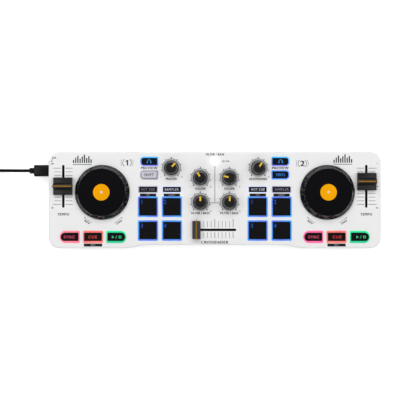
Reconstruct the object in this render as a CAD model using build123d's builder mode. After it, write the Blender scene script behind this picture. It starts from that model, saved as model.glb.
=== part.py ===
from build123d import *
import os
from collections import namedtuple
from math import pi, radians, tan

os.makedirs("parts", exist_ok=True)

# A two-deck DJ controller lying on four rubber feet. All sizes are millimetres.
# The origin is under the middle of the body, +X right, +Y to the rear, +Z up.

# ---------------------------------------------------------------- case
body_length = 342.0
body_depth = 99.5
body_corner = 11.0
panel_height = 28.5
panel_thickness = 2.0
wall = 2.2
panel_edge_radius = 2.0
recess_depth = 3.4
recess_inner = 73.0
recess_outer = 88.0
recess_blend = 50.0
foot_height = 2.0
foot_radius = 6.0
foot_recess = 0.6
foot_inset = (21.0, 16.0)
foot_edge = 0.5
floor_thickness = 2.0
split_height = 10.0
tongue_height = 1.5
tongue_thickness = 1.2
fit = 0.15
hole_fit = 0.2
bottom_edge_chamfer = 1.5

front = -body_depth / 2
rear = body_depth / 2
side = body_length / 2
panel_under = panel_height - panel_thickness
floor_top = foot_height + floor_thickness
feet_at = [(x * (side - foot_inset[0]), y * (rear - foot_inset[1])) for x in (-1, 1) for y in (-1, 1)]

# ---------------------------------------------------------------- circuit board and its screws
board_drop = 10.5
board_thickness = 1.6
board_top = panel_under - board_drop
board_under = board_top - board_thickness
board_side_inset = 3.5
board_front_inset = 6.75
board_rear_inset = 4.25
board_corner = 7.5
board_bay_gap = 0.7
board_side = side - board_side_inset
board_front = front + board_front_inset
board_rear = rear - board_rear_inset
case_boss_radius = 3.2
case_screw_radius = 1.45
case_screw_reach = 9.0
case_screw_tip = split_height + case_screw_reach
case_head_radius = 2.6
case_head_depth = 5.0
case_head_seat = foot_height + case_head_depth
head_thickness = 1.8
board_boss_radius = 2.75
board_screw_radius = 1.2
board_screw_reach = 5.0
board_screw_tip = board_top + board_screw_reach
board_head_radius = 2.3
screw_fit = 0.1
boss_clearance = 0.4
pillar_radius = 3.8
pilot_spare = 1.0

# ---------------------------------------------------------------- parts soldered on the board
chips = [
    (-122.0, 2.0, 12.0, 12.0, 1.4),
    (-100.0, 21.0, 20.0, 14.0, 2.4),
    (-97.0, -5.0, 6.0, 6.0, 1.6),
]
capacitors_at = [(-139.0, 20.0), (-139.0, 28.0)]
capacitor_radius = 3.0
capacitor_height = 6.0

# ---------------------------------------------------------------- jog wheels
jog_x = 115.6
jog_y = 7.85
jog_radius = 28.25
jog_top_radius = 24.3
jog_rise = 9.5
jog_gap = 0.6
jog_wall = 2.4
jog_plate = 2.4
jog_disc_thickness = 1.0
jog_disc_gap = 0.15
jog_rim = 1.2
jog_lip = 0.9
jog_disc_edge = 0.3
spindle_radius = 2.5
spindle_fit = 0.2
spindle_press = 0.05
spindle_boss_radius = 6.0
spindle_boss_drop = 2.9
encoder_radius = 15.0
encoder_thickness = 0.8
encoder_gap = 0.4
encoder_hub_radius = 4.5
encoder_hub_rise = 0.2
sensor_width = 5.0
sensor_reach = (11.0, 18.0)
sensor_floor = 1.0
jog_top = panel_height + jog_rise
encoder_top = panel_under - spindle_boss_drop - encoder_gap - encoder_hub_rise
sensor_bottom = encoder_top - encoder_thickness - encoder_gap - sensor_floor

# ---------------------------------------------------------------- keys, their frames and switches
KeyFamily = namedtuple("KeyFamily", "width depth wall_x wall_y rise travel edge")
pad_family = KeyFamily(17.7, 17.5, 1.15, 1.4, 2.7, 1.2, 0.7)
mode_family = KeyFamily(17.9, 4.9, 0.75, 0.75, 2.0, 0.8, 0.4)
transport_family = KeyFamily(17.6, 8.2, 1.1, 1.9, 3.5, 0.8, 0.5)
small_family = KeyFamily(15.9, 6.9, 1.0, 1.0, 2.8, 0.8, 0.5)
key_gap = 0.3
frame_rise = 0.5
frame_flange = 0.8
frame_flange_thickness = 1.2
key_flange = 0.7
key_flange_thickness = 1.0
key_flange_gap = 0.4
key_stem_radius = 2.0
centre_key_radius = 3.9
centre_key_y = 40.2
centre_key_rise = 2.5
centre_key_travel = 0.8
centre_key_edge = 0.8
switch_size = 6.0
switch_height = 3.5
plunger_radius = 1.7
plunger_height = 1.3
switch_slack = 0.1
led_offset = 6.2
led_size = (3.2, 1.6, 1.1)
frame_bottom = panel_under - frame_flange_thickness
key_bottom = frame_bottom - key_flange_gap - key_flange_thickness
plunger_top = board_top + switch_height + plunger_height

Key = namedtuple("Key", "name family x y left right")
square = 1.3
pad_spacing = (4.0, 3.5)
pad_pitch_x = pad_family.width + 2 * (key_gap + pad_family.wall_x) + pad_spacing[0]
pad_pitch_y = pad_family.depth + 2 * (key_gap + pad_family.wall_y) + pad_spacing[1]
pad_columns = (44.1, 44.1 + pad_pitch_x)
pad_rows = (-7.0, -7.0 - pad_pitch_y)
mode_columns = (44.2, 68.6)
mode_y = 10.85
mode_corner = 0.8
transport_columns = (101.2, 125.15, 149.1)
transport_y = -37.9
transport_round = 6.1
small_x = 67.4
headphone_y = 39.7
shift_y = 25.9
small_round = 3.6
keys = []
for row, pad_y in enumerate(pad_rows):
    for column in (0, 1):
        number = 1 + column + 2 * row
        keys.append(Key(f"pad_left_{number}", pad_family, -pad_columns[1 - column], pad_y, square, square))
        keys.append(Key(f"pad_right_{number}", pad_family, pad_columns[column], pad_y, square, square))
for column, place in enumerate(("inner", "outer")):
    x = mode_columns[column]
    keys.append(Key(f"mode_button_left_{place}", mode_family, -x, mode_y, mode_corner, mode_corner))
    keys.append(Key(f"mode_button_right_{place}", mode_family, x, mode_y, mode_corner, mode_corner))
transport_jobs = {
    "sync": (transport_round, square),
    "cue": (square, square),
    "play": (square, transport_round),
}
for column, (job, corners) in enumerate(transport_jobs.items()):
    x = transport_columns[column]
    mirrored_x = -transport_columns[2 - column]
    keys.append(Key(f"{job}_button_left", transport_family, mirrored_x, transport_y, *corners))
    keys.append(Key(f"{job}_button_right", transport_family, x, transport_y, *corners))
keys.append(Key("headphone_button_left", small_family, -small_x, headphone_y, small_round, square))
keys.append(Key("headphone_button_right", small_family, small_x, headphone_y, square, small_round))
keys.append(Key("shift_button", small_family, -small_x, shift_y, small_round, square))
keys.append(Key("vinyl_button", small_family, small_x, shift_y, square, small_round))
key_points = [(key.x, key.y) for key in keys] + [(0.0, centre_key_y)]

# ---------------------------------------------------------------- where the screws go, clear of the keys
pad_screw_gap = 5.0
pad_screw_x = pad_columns[1] + pad_family.width / 2 + key_gap + pad_family.wall_x + pad_screw_gap
right_case_screws = [(164.5, -43.0), (146.0, 43.5), (pad_screw_x, -40.6), (pad_screw_x, 43.5)]
right_board_screws = [(pad_screw_x + 1.0, -21.0), (140.0, -22.0), (jog_x, 41.0)]
case_screws_at = [(x * s, y) for s in (-1, 1) for x, y in right_case_screws]
board_screws_at = [(0.0, 10.0)] + [(x * s, y) for s in (-1, 1) for x, y in right_board_screws]

# ---------------------------------------------------------------- rotary knobs
knob_radius = 7.75
knob_top_radius = 5.6
knob_rise = 13.5
knob_gap = 0.6
knob_skirt = 1.8
knob_step = 0.8
knob_bevel = (0.7, 1.2)
pointer_start = 1.7
pointer_width = 1.7
pointer_depth = 0.4
shaft_radius = 3.0
shaft_lift = 3.0
shaft_cover = 4.5
shaft_fit = 0.3
shaft_press = 0.02
pot_width = 12.0
pot_depth = 11.0
pot_height = 6.8
bushing_radius = 3.9
bushing_rise = 3.4
knobs = [
    ("knob_master", -44.6, 33.0, -45.0),
    ("knob_headphones", 44.6, 33.0, -31.0),
    ("knob_volume_left", -14.85, 22.8, 30.0),
    ("knob_volume_right", 14.85, 22.8, 76.0),
    ("knob_filter_left", -14.9, -2.35, 0.0),
    ("knob_filter_right", 14.9, -2.35, 0.0),
]
knob_top = panel_height + knob_rise
shaft_bottom = board_top + shaft_lift
shaft_top = knob_top - shaft_cover

# ---------------------------------------------------------------- slide faders
slot_width = 2.5
slot_length = 44.0
lever_thickness = 1.0
lever_width = 4.4
lever_lift = 4.2
lever_rise = 5.5
lever_bottom = board_top + lever_lift
lever_top = panel_height + lever_rise
fader_body_width = 9.0
fader_body_length = 60.0
fader_body_height = 7.5
fader_groove_lift = 3.6
fader_groove_bottom = board_top + fader_groove_lift
fader_travel = 37.8
tempo_jog_gap = 2.2
tempo_cap_width = 19.3
tempo_x = jog_x + jog_radius + tempo_jog_gap + tempo_cap_width / 2
tempo_y = 14.1
tempo_rest = (0.0, 4.8)
crossfader_y = -30.7
crossfader_rest = -fader_travel / 2
crossfader_cap_width = 18.5
cap_gap = 0.7
cap_fit = 0.05
cap_edge = 0.5
tempo_cap_profile = [(9.0, 0.0), (9.0, 3.3), (7.7, 4.6), (2.6, 5.5), (1.9, 8.3)]
crossfader_cap_profile = [(4.25, 0.0), (4.25, 3.6), (3.4, 5.0), (1.5, 5.8), (1.1, 8.3)]

# ---------------------------------------------------------------- battery bay in the bottom shell
cell_radius = 7.1
cell_length = 49.5
cell_nub_radius = 2.6
cell_nub = 1.0
cell_pitch = 14.9
cell_lift = 0.4
cell_bottom = floor_top + cell_lift
bay_wall = 1.5
contact_thickness = 0.6
spring_length = 4.3
spring_radii = (4.5, 2.5)
door_fit = 0.3
door_pull_radius = 6.0
door_pull_depth = 1.2
door_pull_inset = 8.0
bay_length = 2 * contact_thickness + spring_length + cell_length + cell_nub
bay_spare = 0.9
bay_depth = 2 * cell_pitch + 2 * cell_radius + bay_spare
bay_headroom = 0.3
bay_top = cell_bottom + 2 * cell_radius + bay_headroom
bay_roof = 1.4
bay_x = jog_x
bay_y = jog_y
cell_z = cell_bottom + cell_radius
contact_size = (11.0, 11.0)

# ---------------------------------------------------------------- power switch in the left wall
power_y = 37.8
power_lift = 2.2
power_z = board_top + power_lift
power_travel = 4.0
power_tab = (3.0, 2.4)
power_reach = 2.4
power_tab_edge = 0.4
power_housing = (6.0, 10.0, 4.4)
power_housing_gap = 1.5
power_housing_x = -(side - wall - power_housing_gap)
power_channel_depth = 3.0
power_fit = 0.3

# ---------------------------------------------------------------- USB socket and lead
usb_y = 30.6
socket_size = (7.0, 8.0, 2.8)
socket_cavity = (7.1, 2.0)
socket_z = board_under - socket_size[2] / 2
socket_mouth_gap = 0.3
socket_mouth_x = -(side - wall) + socket_mouth_gap
window_size = (9.4, 4.0)
tongue_size = (6.8, 1.7)
tongue_reach = 5.0
plug_face_gap = 1.8
plug_face_x = -side - plug_face_gap
plug_length = 15.5
plug_size = (12.1, 8.0)
plug_corner = 1.6
socket_back = 1.0
window_depth = 6.0
relief_length = 5.4
relief_radius = 3.15
relief_tip_radius = 2.1
cable_radius = 1.6
coil_x = -258.0
coil_inner = 11.6
coil_outer = 24.4
coil_height = 4 * cable_radius
coil_turn_radius = coil_outer - cable_radius
coil_y = usb_y - coil_turn_radius
notch_gap = 0.1
a_plug_lead = 14.5
a_plug_relief = 8.0
a_plug_relief_radii = (2.5, 3.9)
a_plug_corner = 2.0
a_plug_size = (16.0, 20.0, 6 * cable_radius)
a_shell_size = (12.0, 12.0, 4.5)
a_shell_wall = 0.35
a_tongue_size = (11.0, 8.5, 1.9)
cable_start = (plug_face_x - plug_length - relief_length, usb_y, socket_z)
cable_route = [
    cable_start,
    (-203.5, 30.6, socket_z),
    (-214.0, 30.8, 8.6),
    (-225.5, 31.1, 3.2),
    (-237.5, 31.0, 1.6),
    (-248.5, usb_y, 1.6),
    (coil_x, usb_y, 1.6),
]


# ---------------------------------------------------------------- helpers
def save(piece, name):
    """Label a finished piece and write it as its own STEP file."""
    piece.part.label = name
    export_step(piece.part, f"parts/{name}.step")


def body_outline(inset):
    """Outline of the body, moved inwards by the inset; its front edge steps back in the middle."""
    with BuildSketch() as outline:
        RectangleRounded(body_length, body_depth, body_corner)
        with BuildLine():
            Polyline(
                (-recess_outer, front),
                (-recess_inner, front + recess_depth),
                (recess_inner, front + recess_depth),
                (recess_outer, front),
                close=True,
            )
        make_face(mode=Mode.SUBTRACT)
        step = outline.vertices().filter_by(lambda v: abs(v.X) < recess_outer + 1 and v.Y < 0)
        fillet(step, recess_blend)
        if inset:
            offset(amount=-inset)
    return outline.sketch


def key_outline(width, depth, left, right):
    """Outline of a key or a frame with its own corner radius on each side."""
    most = 0.49 * min(width, depth)
    with BuildSketch() as outline:
        Rectangle(width, depth)
        fillet(outline.vertices().group_by(Axis.X)[0], min(left, most))
        fillet(outline.vertices().group_by(Axis.X)[-1], min(right, most))
    return outline.sketch


def frame_outline(key, grow):
    """Outer outline of the frame round a key, grown by an even margin."""
    family = key.family
    width = family.width + 2 * (key_gap + family.wall_x + grow)
    depth = family.depth + 2 * (key_gap + family.wall_y + grow)
    return key_outline(width, depth, key.left + grow, key.right + grow)


def cap_outline(key, grow):
    """Outline of a key's cap, grown by an even margin."""
    family = key.family
    shrink = family.wall_y + key_gap - grow
    left = max(key.left - shrink, 0.5)
    right = max(key.right - shrink, 0.5)
    return key_outline(family.width + 2 * grow, family.depth + 2 * grow, left, right)


def block(low, high, mode=Mode.ADD):
    """Box between two corners."""
    size = [b - a for a, b in zip(low, high)]
    with Locations(tuple((a + b) / 2 for a, b in zip(low, high))):
        Box(*size, mode=mode)


def post(x, y, z_low, z_high, radius, mode=Mode.ADD):
    """Upright round bar."""
    with Locations((x, y, z_low)):
        Cylinder(radius, z_high - z_low, align=(Align.CENTER, Align.CENTER, Align.MIN), mode=mode)


# ---------------------------------------------------------------- case shells
with BuildPart() as top_shell:
    with BuildSketch(Plane.XY.offset(split_height)):
        add(body_outline(0))
    extrude(amount=panel_height - split_height)
    fillet(top_shell.faces().sort_by(Axis.Z)[-1].edges(), panel_edge_radius)
    with BuildSketch(Plane.XY.offset(split_height)):
        add(body_outline(wall))
    extrude(amount=panel_under - split_height, mode=Mode.SUBTRACT)
    for x, y in case_screws_at:
        post(x, y, split_height, panel_under, case_boss_radius)
        post(x, y, split_height, case_screw_tip + pilot_spare, case_screw_radius + screw_fit, Mode.SUBTRACT)
    for x, y in board_screws_at:
        post(x, y, board_top, panel_under, board_boss_radius)
        post(x, y, board_top, board_screw_tip + pilot_spare, board_screw_radius + screw_fit, Mode.SUBTRACT)
    for x in (-jog_x, jog_x):
        post(x, jog_y, panel_under - spindle_boss_drop, panel_under, spindle_boss_radius)
        post(x, jog_y, 0, panel_height, spindle_radius + spindle_fit, Mode.SUBTRACT)
    with BuildSketch(Plane.XY.offset(panel_height)):
        for key in keys:
            with Locations((key.x, key.y)):
                add(frame_outline(key, fit))
        with Locations((0, centre_key_y)):
            Circle(centre_key_radius + key_gap)
        with Locations([(x, y) for name, x, y, angle in knobs]):
            Circle(bushing_radius + fit)
        with Locations((-tempo_x, tempo_y), (tempo_x, tempo_y)):
            SlotOverall(slot_length, slot_width, rotation=90)
        with Locations((0, crossfader_y)):
            SlotOverall(slot_length, slot_width)
    extrude(amount=-panel_thickness, mode=Mode.SUBTRACT)
    with BuildSketch(Plane.YZ.offset(-side)):
        with Locations((usb_y, socket_z)):
            Rectangle(window_size[0], window_size[1])
        with Locations((power_y, power_z)):
            Rectangle(power_tab[0] + power_travel + 2 * power_fit, power_tab[1] + 2 * power_fit)
    extrude(amount=window_depth, mode=Mode.SUBTRACT)
save(top_shell, "top_shell")

with BuildPart() as bottom_shell:
    with BuildSketch(Plane.XY.offset(foot_height)):
        add(body_outline(0))
    extrude(amount=split_height - foot_height)
    chamfer(bottom_shell.faces().sort_by(Axis.Z)[0].edges(), bottom_edge_chamfer)
    with BuildSketch(Plane.XY.offset(split_height)):
        add(body_outline(wall + hole_fit))
    extrude(amount=tongue_height)
    with BuildSketch(Plane.XY.offset(floor_top)):
        add(body_outline(wall + hole_fit + tongue_thickness))
    extrude(amount=split_height + tongue_height - floor_top, mode=Mode.SUBTRACT)
    for x, y in case_screws_at:
        post(x, y, floor_top, split_height, pillar_radius)
        clear_radius = case_boss_radius + boss_clearance
        post(x, y, split_height, split_height + 2 * tongue_height, clear_radius, Mode.SUBTRACT)
        post(x, y, foot_height, case_head_seat, case_head_radius + hole_fit, Mode.SUBTRACT)
        post(x, y, foot_height, split_height, case_screw_radius + hole_fit, Mode.SUBTRACT)
    bay_low = (bay_x - bay_length / 2, bay_y - bay_depth / 2)
    bay_high = (bay_x + bay_length / 2, bay_y + bay_depth / 2)
    block(
        (bay_low[0] - bay_wall, bay_low[1] - bay_wall, floor_top),
        (bay_high[0] + bay_wall, bay_high[1] + bay_wall, bay_top + bay_roof),
    )
    block((*bay_low, foot_height), (*bay_high, bay_top), Mode.SUBTRACT)
    for x, y in feet_at:
        post(x, y, foot_height, foot_height + foot_recess, foot_radius + fit, Mode.SUBTRACT)
save(bottom_shell, "bottom_shell")

with BuildPart() as battery_door:
    block(
        (bay_low[0] + door_fit, bay_low[1] + door_fit, foot_height),
        (bay_high[0] - door_fit, bay_high[1] - door_fit, floor_top),
    )
    pull_x = bay_high[0] - door_pull_inset
    post(pull_x, bay_y, foot_height, foot_height + door_pull_depth, door_pull_radius, Mode.SUBTRACT)
save(battery_door, "battery_door")

with BuildPart() as rubber_feet:
    for x, y in feet_at:
        post(x, y, 0, foot_height + foot_recess, foot_radius)
    chamfer(rubber_feet.edges().filter_by(GeomType.CIRCLE).group_by(Axis.Z)[0], foot_edge)
save(rubber_feet, "rubber_feet")

with BuildPart() as case_screws:
    for x, y in case_screws_at:
        post(x, y, case_head_seat - head_thickness, case_head_seat, case_head_radius)
        post(x, y, case_head_seat, case_screw_tip, case_screw_radius)
    for x, y in board_screws_at:
        post(x, y, board_under - head_thickness, board_under, board_head_radius)
        post(x, y, board_under, board_screw_tip, board_screw_radius)
save(case_screws, "case_screws")

# ---------------------------------------------------------------- circuit board and what it carries
with BuildPart() as main_board:
    with BuildSketch(Plane.XY.offset(board_under)):
        with Locations((0, (board_front + board_rear) / 2)):
            RectangleRounded(2 * board_side, board_rear - board_front, board_corner)
        with Locations(case_screws_at):
            Circle(case_boss_radius + boss_clearance, mode=Mode.SUBTRACT)
        with Locations(board_screws_at):
            Circle(board_screw_radius + hole_fit, mode=Mode.SUBTRACT)
        with Locations((bay_x, bay_y)):
            Rectangle(
                bay_length + 2 * (bay_wall + board_bay_gap),
                bay_depth + 2 * (bay_wall + board_bay_gap),
                mode=Mode.SUBTRACT,
            )
    extrude(amount=board_thickness)
save(main_board, "main_board")

with BuildPart() as board_chips:
    for x, y in key_points:
        block(
            (x + led_offset - led_size[0] / 2, y - led_size[1] / 2, board_top),
            (x + led_offset + led_size[0] / 2, y + led_size[1] / 2, board_top + led_size[2]),
        )
    for x, y, width, depth, height in chips:
        block((x - width / 2, y - depth / 2, board_top), (x + width / 2, y + depth / 2, board_top + height))
    for x, y in capacitors_at:
        post(x, y, board_top, board_top + capacitor_height, capacitor_radius)
    for x in (-jog_x, jog_x):
        block(
            (x + sensor_reach[0], jog_y - sensor_width / 2, sensor_bottom),
            (x + sensor_reach[1], jog_y + sensor_width / 2, panel_under),
        )
        block(
            (x + sensor_reach[0], jog_y - sensor_width / 2, encoder_top - encoder_thickness - encoder_gap),
            (x + encoder_radius + encoder_gap, jog_y + sensor_width / 2, encoder_top + encoder_gap),
            Mode.SUBTRACT,
        )
    housing_low = (power_housing_x, power_y - power_housing[1] / 2, board_top)
    housing_high = (
        power_housing_x + power_housing[0],
        power_y + power_housing[1] / 2,
        board_top + power_housing[2],
    )
    block(housing_low, housing_high)
    channel_width = power_tab[0] + power_travel + 2 * power_fit
    channel_height = power_tab[1] + 2 * power_fit
    block(
        (power_housing_x, power_y - channel_width / 2, power_z - channel_height / 2),
        (power_housing_x + power_channel_depth, power_y + channel_width / 2, power_z + channel_height / 2),
        Mode.SUBTRACT,
    )
save(board_chips, "board_chips")

with BuildPart() as tact_switches:
    for x, y in key_points:
        block(
            (x - switch_size / 2, y - switch_size / 2, board_top),
            (x + switch_size / 2, y + switch_size / 2, board_top + switch_height),
        )
        post(x, y, board_top + switch_height, plunger_top, plunger_radius)
save(tact_switches, "tact_switches")

with BuildPart() as rotary_pots:
    for name, x, y, angle in knobs:
        block(
            (x - pot_width / 2, y - pot_depth / 2, board_top),
            (x + pot_width / 2, y + pot_depth / 2, board_top + pot_height),
        )
        post(x, y, board_top + pot_height, board_top + pot_height + bushing_rise, bushing_radius)
        post(x, y, shaft_bottom - shaft_fit, knob_top, shaft_radius + shaft_fit, Mode.SUBTRACT)
save(rotary_pots, "rotary_pots")

with BuildPart() as slide_pots:
    for x in (-tempo_x, tempo_x):
        block(
            (x - fader_body_width / 2, tempo_y - fader_body_length / 2, board_top),
            (x + fader_body_width / 2, tempo_y + fader_body_length / 2, board_top + fader_body_height),
        )
        block(
            (x - slot_width / 2, tempo_y - slot_length / 2, fader_groove_bottom),
            (x + slot_width / 2, tempo_y + slot_length / 2, board_top + fader_body_height),
            Mode.SUBTRACT,
        )
    block(
        (-fader_body_length / 2, crossfader_y - fader_body_width / 2, board_top),
        (fader_body_length / 2, crossfader_y + fader_body_width / 2, board_top + fader_body_height),
    )
    block(
        (-slot_length / 2, crossfader_y - slot_width / 2, fader_groove_bottom),
        (slot_length / 2, crossfader_y + slot_width / 2, board_top + fader_body_height),
        Mode.SUBTRACT,
    )
save(slide_pots, "slide_pots")

with BuildPart() as batteries:
    for row in (-1, 0, 1):
        nub_side = 1 if row == 0 else -1
        can_start = bay_x - nub_side * (bay_length / 2 - contact_thickness - spring_length)
        axis = Plane(origin=(can_start, bay_y + row * cell_pitch, cell_z), z_dir=(nub_side, 0, 0))
        with BuildSketch(axis):
            Circle(cell_radius)
        extrude(amount=cell_length)
        with BuildSketch(axis.offset(cell_length)):
            Circle(cell_nub_radius)
        extrude(amount=cell_nub)
save(batteries, "batteries")

with BuildPart() as battery_contacts:
    for row in (-1, 0, 1):
        nub_side = 1 if row == 0 else -1
        y = bay_y + row * cell_pitch
        for end in (-1, 1):
            face = bay_x + end * bay_length / 2
            back = face - end * contact_thickness
            block(
                (min(face, back), y - contact_size[0] / 2, cell_z - contact_size[1] / 2),
                (max(face, back), y + contact_size[0] / 2, cell_z + contact_size[1] / 2),
            )
        spring_root = bay_x - nub_side * (bay_length / 2 - contact_thickness)
        spring_plane = Plane(origin=(spring_root, y, cell_z), z_dir=(nub_side, 0, 0))
        with BuildSketch(spring_plane) as root:
            Circle(spring_radii[0])
        with BuildSketch(spring_plane.offset(spring_length)) as tip:
            Circle(spring_radii[1])
        loft(sections=[root.sketch, tip.sketch])
save(battery_contacts, "battery_contacts")

# ---------------------------------------------------------------- keys
with BuildPart() as light_frames:
    with BuildSketch(Plane.XY.offset(frame_bottom)):
        for key in keys:
            with Locations((key.x, key.y)):
                add(frame_outline(key, frame_flange))
    extrude(amount=frame_flange_thickness)
    with BuildSketch(Plane.XY.offset(panel_under)):
        for key in keys:
            with Locations((key.x, key.y)):
                add(frame_outline(key, 0))
    extrude(amount=panel_thickness + frame_rise)
    with BuildSketch(Plane.XY.offset(frame_bottom)):
        for key in keys:
            with Locations((key.x, key.y)):
                add(cap_outline(key, key_gap))
    extrude(amount=frame_flange_thickness + panel_thickness + frame_rise, mode=Mode.SUBTRACT)
save(light_frames, "light_frames")

for key in keys:
    with BuildPart() as cap:
        with BuildSketch(Plane.XY.offset(key_bottom)):
            with Locations((key.x, key.y)):
                add(cap_outline(key, 0))
        extrude(amount=panel_height + key.family.rise - key_bottom)
        fillet(cap.faces().sort_by(Axis.Z)[-1].edges(), key.family.edge)
        with BuildSketch(Plane.XY.offset(key_bottom)):
            with Locations((key.x, key.y)):
                add(cap_outline(key, key_gap + key_flange))
        extrude(amount=key_flange_thickness)
        post(key.x, key.y, plunger_top + key.family.travel + switch_slack, key_bottom, key_stem_radius)
    save(cap, key.name)

with BuildPart() as centre_button:
    post(0, centre_key_y, key_bottom, panel_height + centre_key_rise, centre_key_radius)
    fillet(centre_button.faces().sort_by(Axis.Z)[-1].edges(), centre_key_edge)
    post(0, centre_key_y, key_bottom, key_bottom + key_flange_thickness, centre_key_radius + key_flange)
    post(0, centre_key_y, plunger_top + centre_key_travel + switch_slack, key_bottom, key_stem_radius)
save(centre_button, "centre_button")

# ---------------------------------------------------------------- jog wheels
for deck, x in (("left", -jog_x), ("right", jog_x)):
    with BuildPart() as wheel:
        with BuildSketch(Plane(origin=(x, jog_y, 0), z_dir=(0, -1, 0), x_dir=(1, 0, 0))):
            with BuildLine():
                Polyline(
                    (jog_radius - jog_wall, panel_height + jog_gap),
                    (jog_radius, panel_height + jog_gap),
                    (jog_radius, panel_height + jog_gap + jog_rim),
                    (jog_top_radius + jog_lip, jog_top),
                    (jog_top_radius, jog_top),
                    (jog_top_radius, jog_top - jog_disc_thickness),
                    (0, jog_top - jog_disc_thickness),
                    (0, encoder_top - encoder_thickness),
                    (spindle_radius, encoder_top - encoder_thickness),
                    (spindle_radius, jog_top - jog_disc_thickness - jog_plate),
                    (jog_top_radius + jog_lip - jog_wall, jog_top - jog_disc_thickness - jog_plate),
                    close=True,
                )
            make_face()
        revolve(axis=Axis((x, jog_y, 0), (0, 0, 1)))
    save(wheel, f"jog_wheel_{deck}")

    with BuildPart() as disc:
        post(x, jog_y, jog_top - jog_disc_thickness, jog_top, jog_top_radius - jog_disc_gap)
        fillet(disc.faces().sort_by(Axis.Z)[-1].edges(), jog_disc_edge)
    save(disc, f"jog_disc_{deck}")

    with BuildPart() as encoder:
        post(x, jog_y, encoder_top - encoder_thickness, encoder_top, encoder_radius)
        post(x, jog_y, encoder_top, encoder_top + encoder_hub_rise, encoder_hub_radius)
        post(x, jog_y, 0, panel_height, spindle_radius + spindle_press, Mode.SUBTRACT)
    save(encoder, f"jog_encoder_{deck}")

# ---------------------------------------------------------------- rotary knobs
for name, x, y, angle in knobs:
    with BuildPart() as knob:
        with BuildSketch(Plane(origin=(x, y, 0), z_dir=(0, -1, 0), x_dir=(1, 0, 0))):
            with BuildLine():
                base = panel_height + knob_gap
                Polyline(
                    (0, base),
                    (knob_radius, base),
                    (knob_radius, base + knob_skirt),
                    (knob_radius - knob_step, base + knob_skirt + knob_step),
                    (knob_top_radius + knob_bevel[0], knob_top - knob_bevel[1]),
                    (knob_top_radius, knob_top),
                    (0, knob_top),
                    close=True,
                )
            make_face()
        revolve(axis=Axis((x, y, 0), (0, 0, 1)))
        post(x, y, base, shaft_top, shaft_radius + shaft_press, Mode.SUBTRACT)
        post(x, y, shaft_bottom, shaft_top, shaft_radius)
        with Locations(Location((x, y, 0), (0, 0, angle))):
            block(
                (-pointer_width / 2, pointer_start, knob_top - pointer_depth),
                (pointer_width / 2, knob_radius, knob_top),
                Mode.SUBTRACT,
            )
            block(
                (-pointer_width / 2, pointer_start, knob_top - pointer_depth),
                (pointer_width / 2, knob_top_radius, knob_top),
            )
    save(knob, name)

# ---------------------------------------------------------------- faders
def fader_cap(profile, width, plane):
    """Ridged fader cap: its profile mirrored about the ridge, pulled across its width."""
    base = panel_height + cap_gap
    points = [(-u, base + v) for u, v in profile] + [(u, base + v) for u, v in reversed(profile)]
    across = Axis(plane.origin, plane.z_dir)
    with BuildPart() as cap:
        with BuildSketch(plane):
            with BuildLine():
                Polyline(points, close=True)
            make_face()
        extrude(amount=width / 2, both=True)
        ends = cap.faces().filter_by(across).sort_by(across)
        rims = ends[0].edges() + ends[-1].edges()
        chamfer(rims.filter_by(lambda edge: edge.center().Z > base + cap_edge), cap_edge)
    return cap


for deck, x, rest in (("left", -tempo_x, tempo_rest[0]), ("right", tempo_x, tempo_rest[1])):
    lever_y = tempo_y + rest
    with BuildPart() as cap:
        add(fader_cap(tempo_cap_profile, tempo_cap_width, Plane.YZ).part.moved(Location((x, lever_y, 0))))
        block(
            (x - lever_thickness / 2 - cap_fit, lever_y - lever_width / 2 - cap_fit, panel_height),
            (x + lever_thickness / 2 + cap_fit, lever_y + lever_width / 2 + cap_fit, lever_top),
            Mode.SUBTRACT,
        )
    save(cap, f"tempo_cap_{deck}")
    with BuildPart() as lever:
        block(
            (x - lever_thickness / 2, lever_y - lever_width / 2, lever_bottom),
            (x + lever_thickness / 2, lever_y + lever_width / 2, lever_top),
        )
    save(lever, f"tempo_lever_{deck}")

with BuildPart() as crossfader_cap:
    cap_at = Location((crossfader_rest, crossfader_y, 0))
    add(fader_cap(crossfader_cap_profile, crossfader_cap_width, Plane.XZ).part.moved(cap_at))
    half_width = lever_width / 2 + cap_fit
    half_thickness = lever_thickness / 2 + cap_fit
    block(
        (crossfader_rest - half_width, crossfader_y - half_thickness, panel_height),
        (crossfader_rest + half_width, crossfader_y + half_thickness, lever_top),
        Mode.SUBTRACT,
    )
save(crossfader_cap, "crossfader_cap")

with BuildPart() as crossfader_lever:
    block(
        (crossfader_rest - lever_width / 2, crossfader_y - lever_thickness / 2, lever_bottom),
        (crossfader_rest + lever_width / 2, crossfader_y + lever_thickness / 2, lever_top),
    )
save(crossfader_lever, "crossfader_lever")

# ---------------------------------------------------------------- power switch slider
with BuildPart() as power_slider:
    power_rest = power_y + power_travel / 2
    block(
        (-side - power_reach, power_rest - power_tab[0] / 2, power_z - power_tab[1] / 2),
        (
            power_housing_x + power_channel_depth - power_fit,
            power_rest + power_tab[0] / 2,
            power_z + power_tab[1] / 2,
        ),
    )
    fillet(power_slider.faces().sort_by(Axis.X)[0].edges(), power_tab_edge)
save(power_slider, "power_slider")

# ---------------------------------------------------------------- USB socket and lead
with BuildPart() as usb_socket:
    block(
        (socket_mouth_x, usb_y - socket_size[1] / 2, board_under - socket_size[2]),
        (socket_mouth_x + socket_size[0], usb_y + socket_size[1] / 2, board_under),
    )
    block(
        (socket_mouth_x, usb_y - socket_cavity[0] / 2, socket_z - socket_cavity[1] / 2),
        (
            socket_mouth_x + socket_size[0] - socket_back,
            usb_y + socket_cavity[0] / 2,
            socket_z + socket_cavity[1] / 2,
        ),
        Mode.SUBTRACT,
    )
save(usb_socket, "usb_socket")

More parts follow.
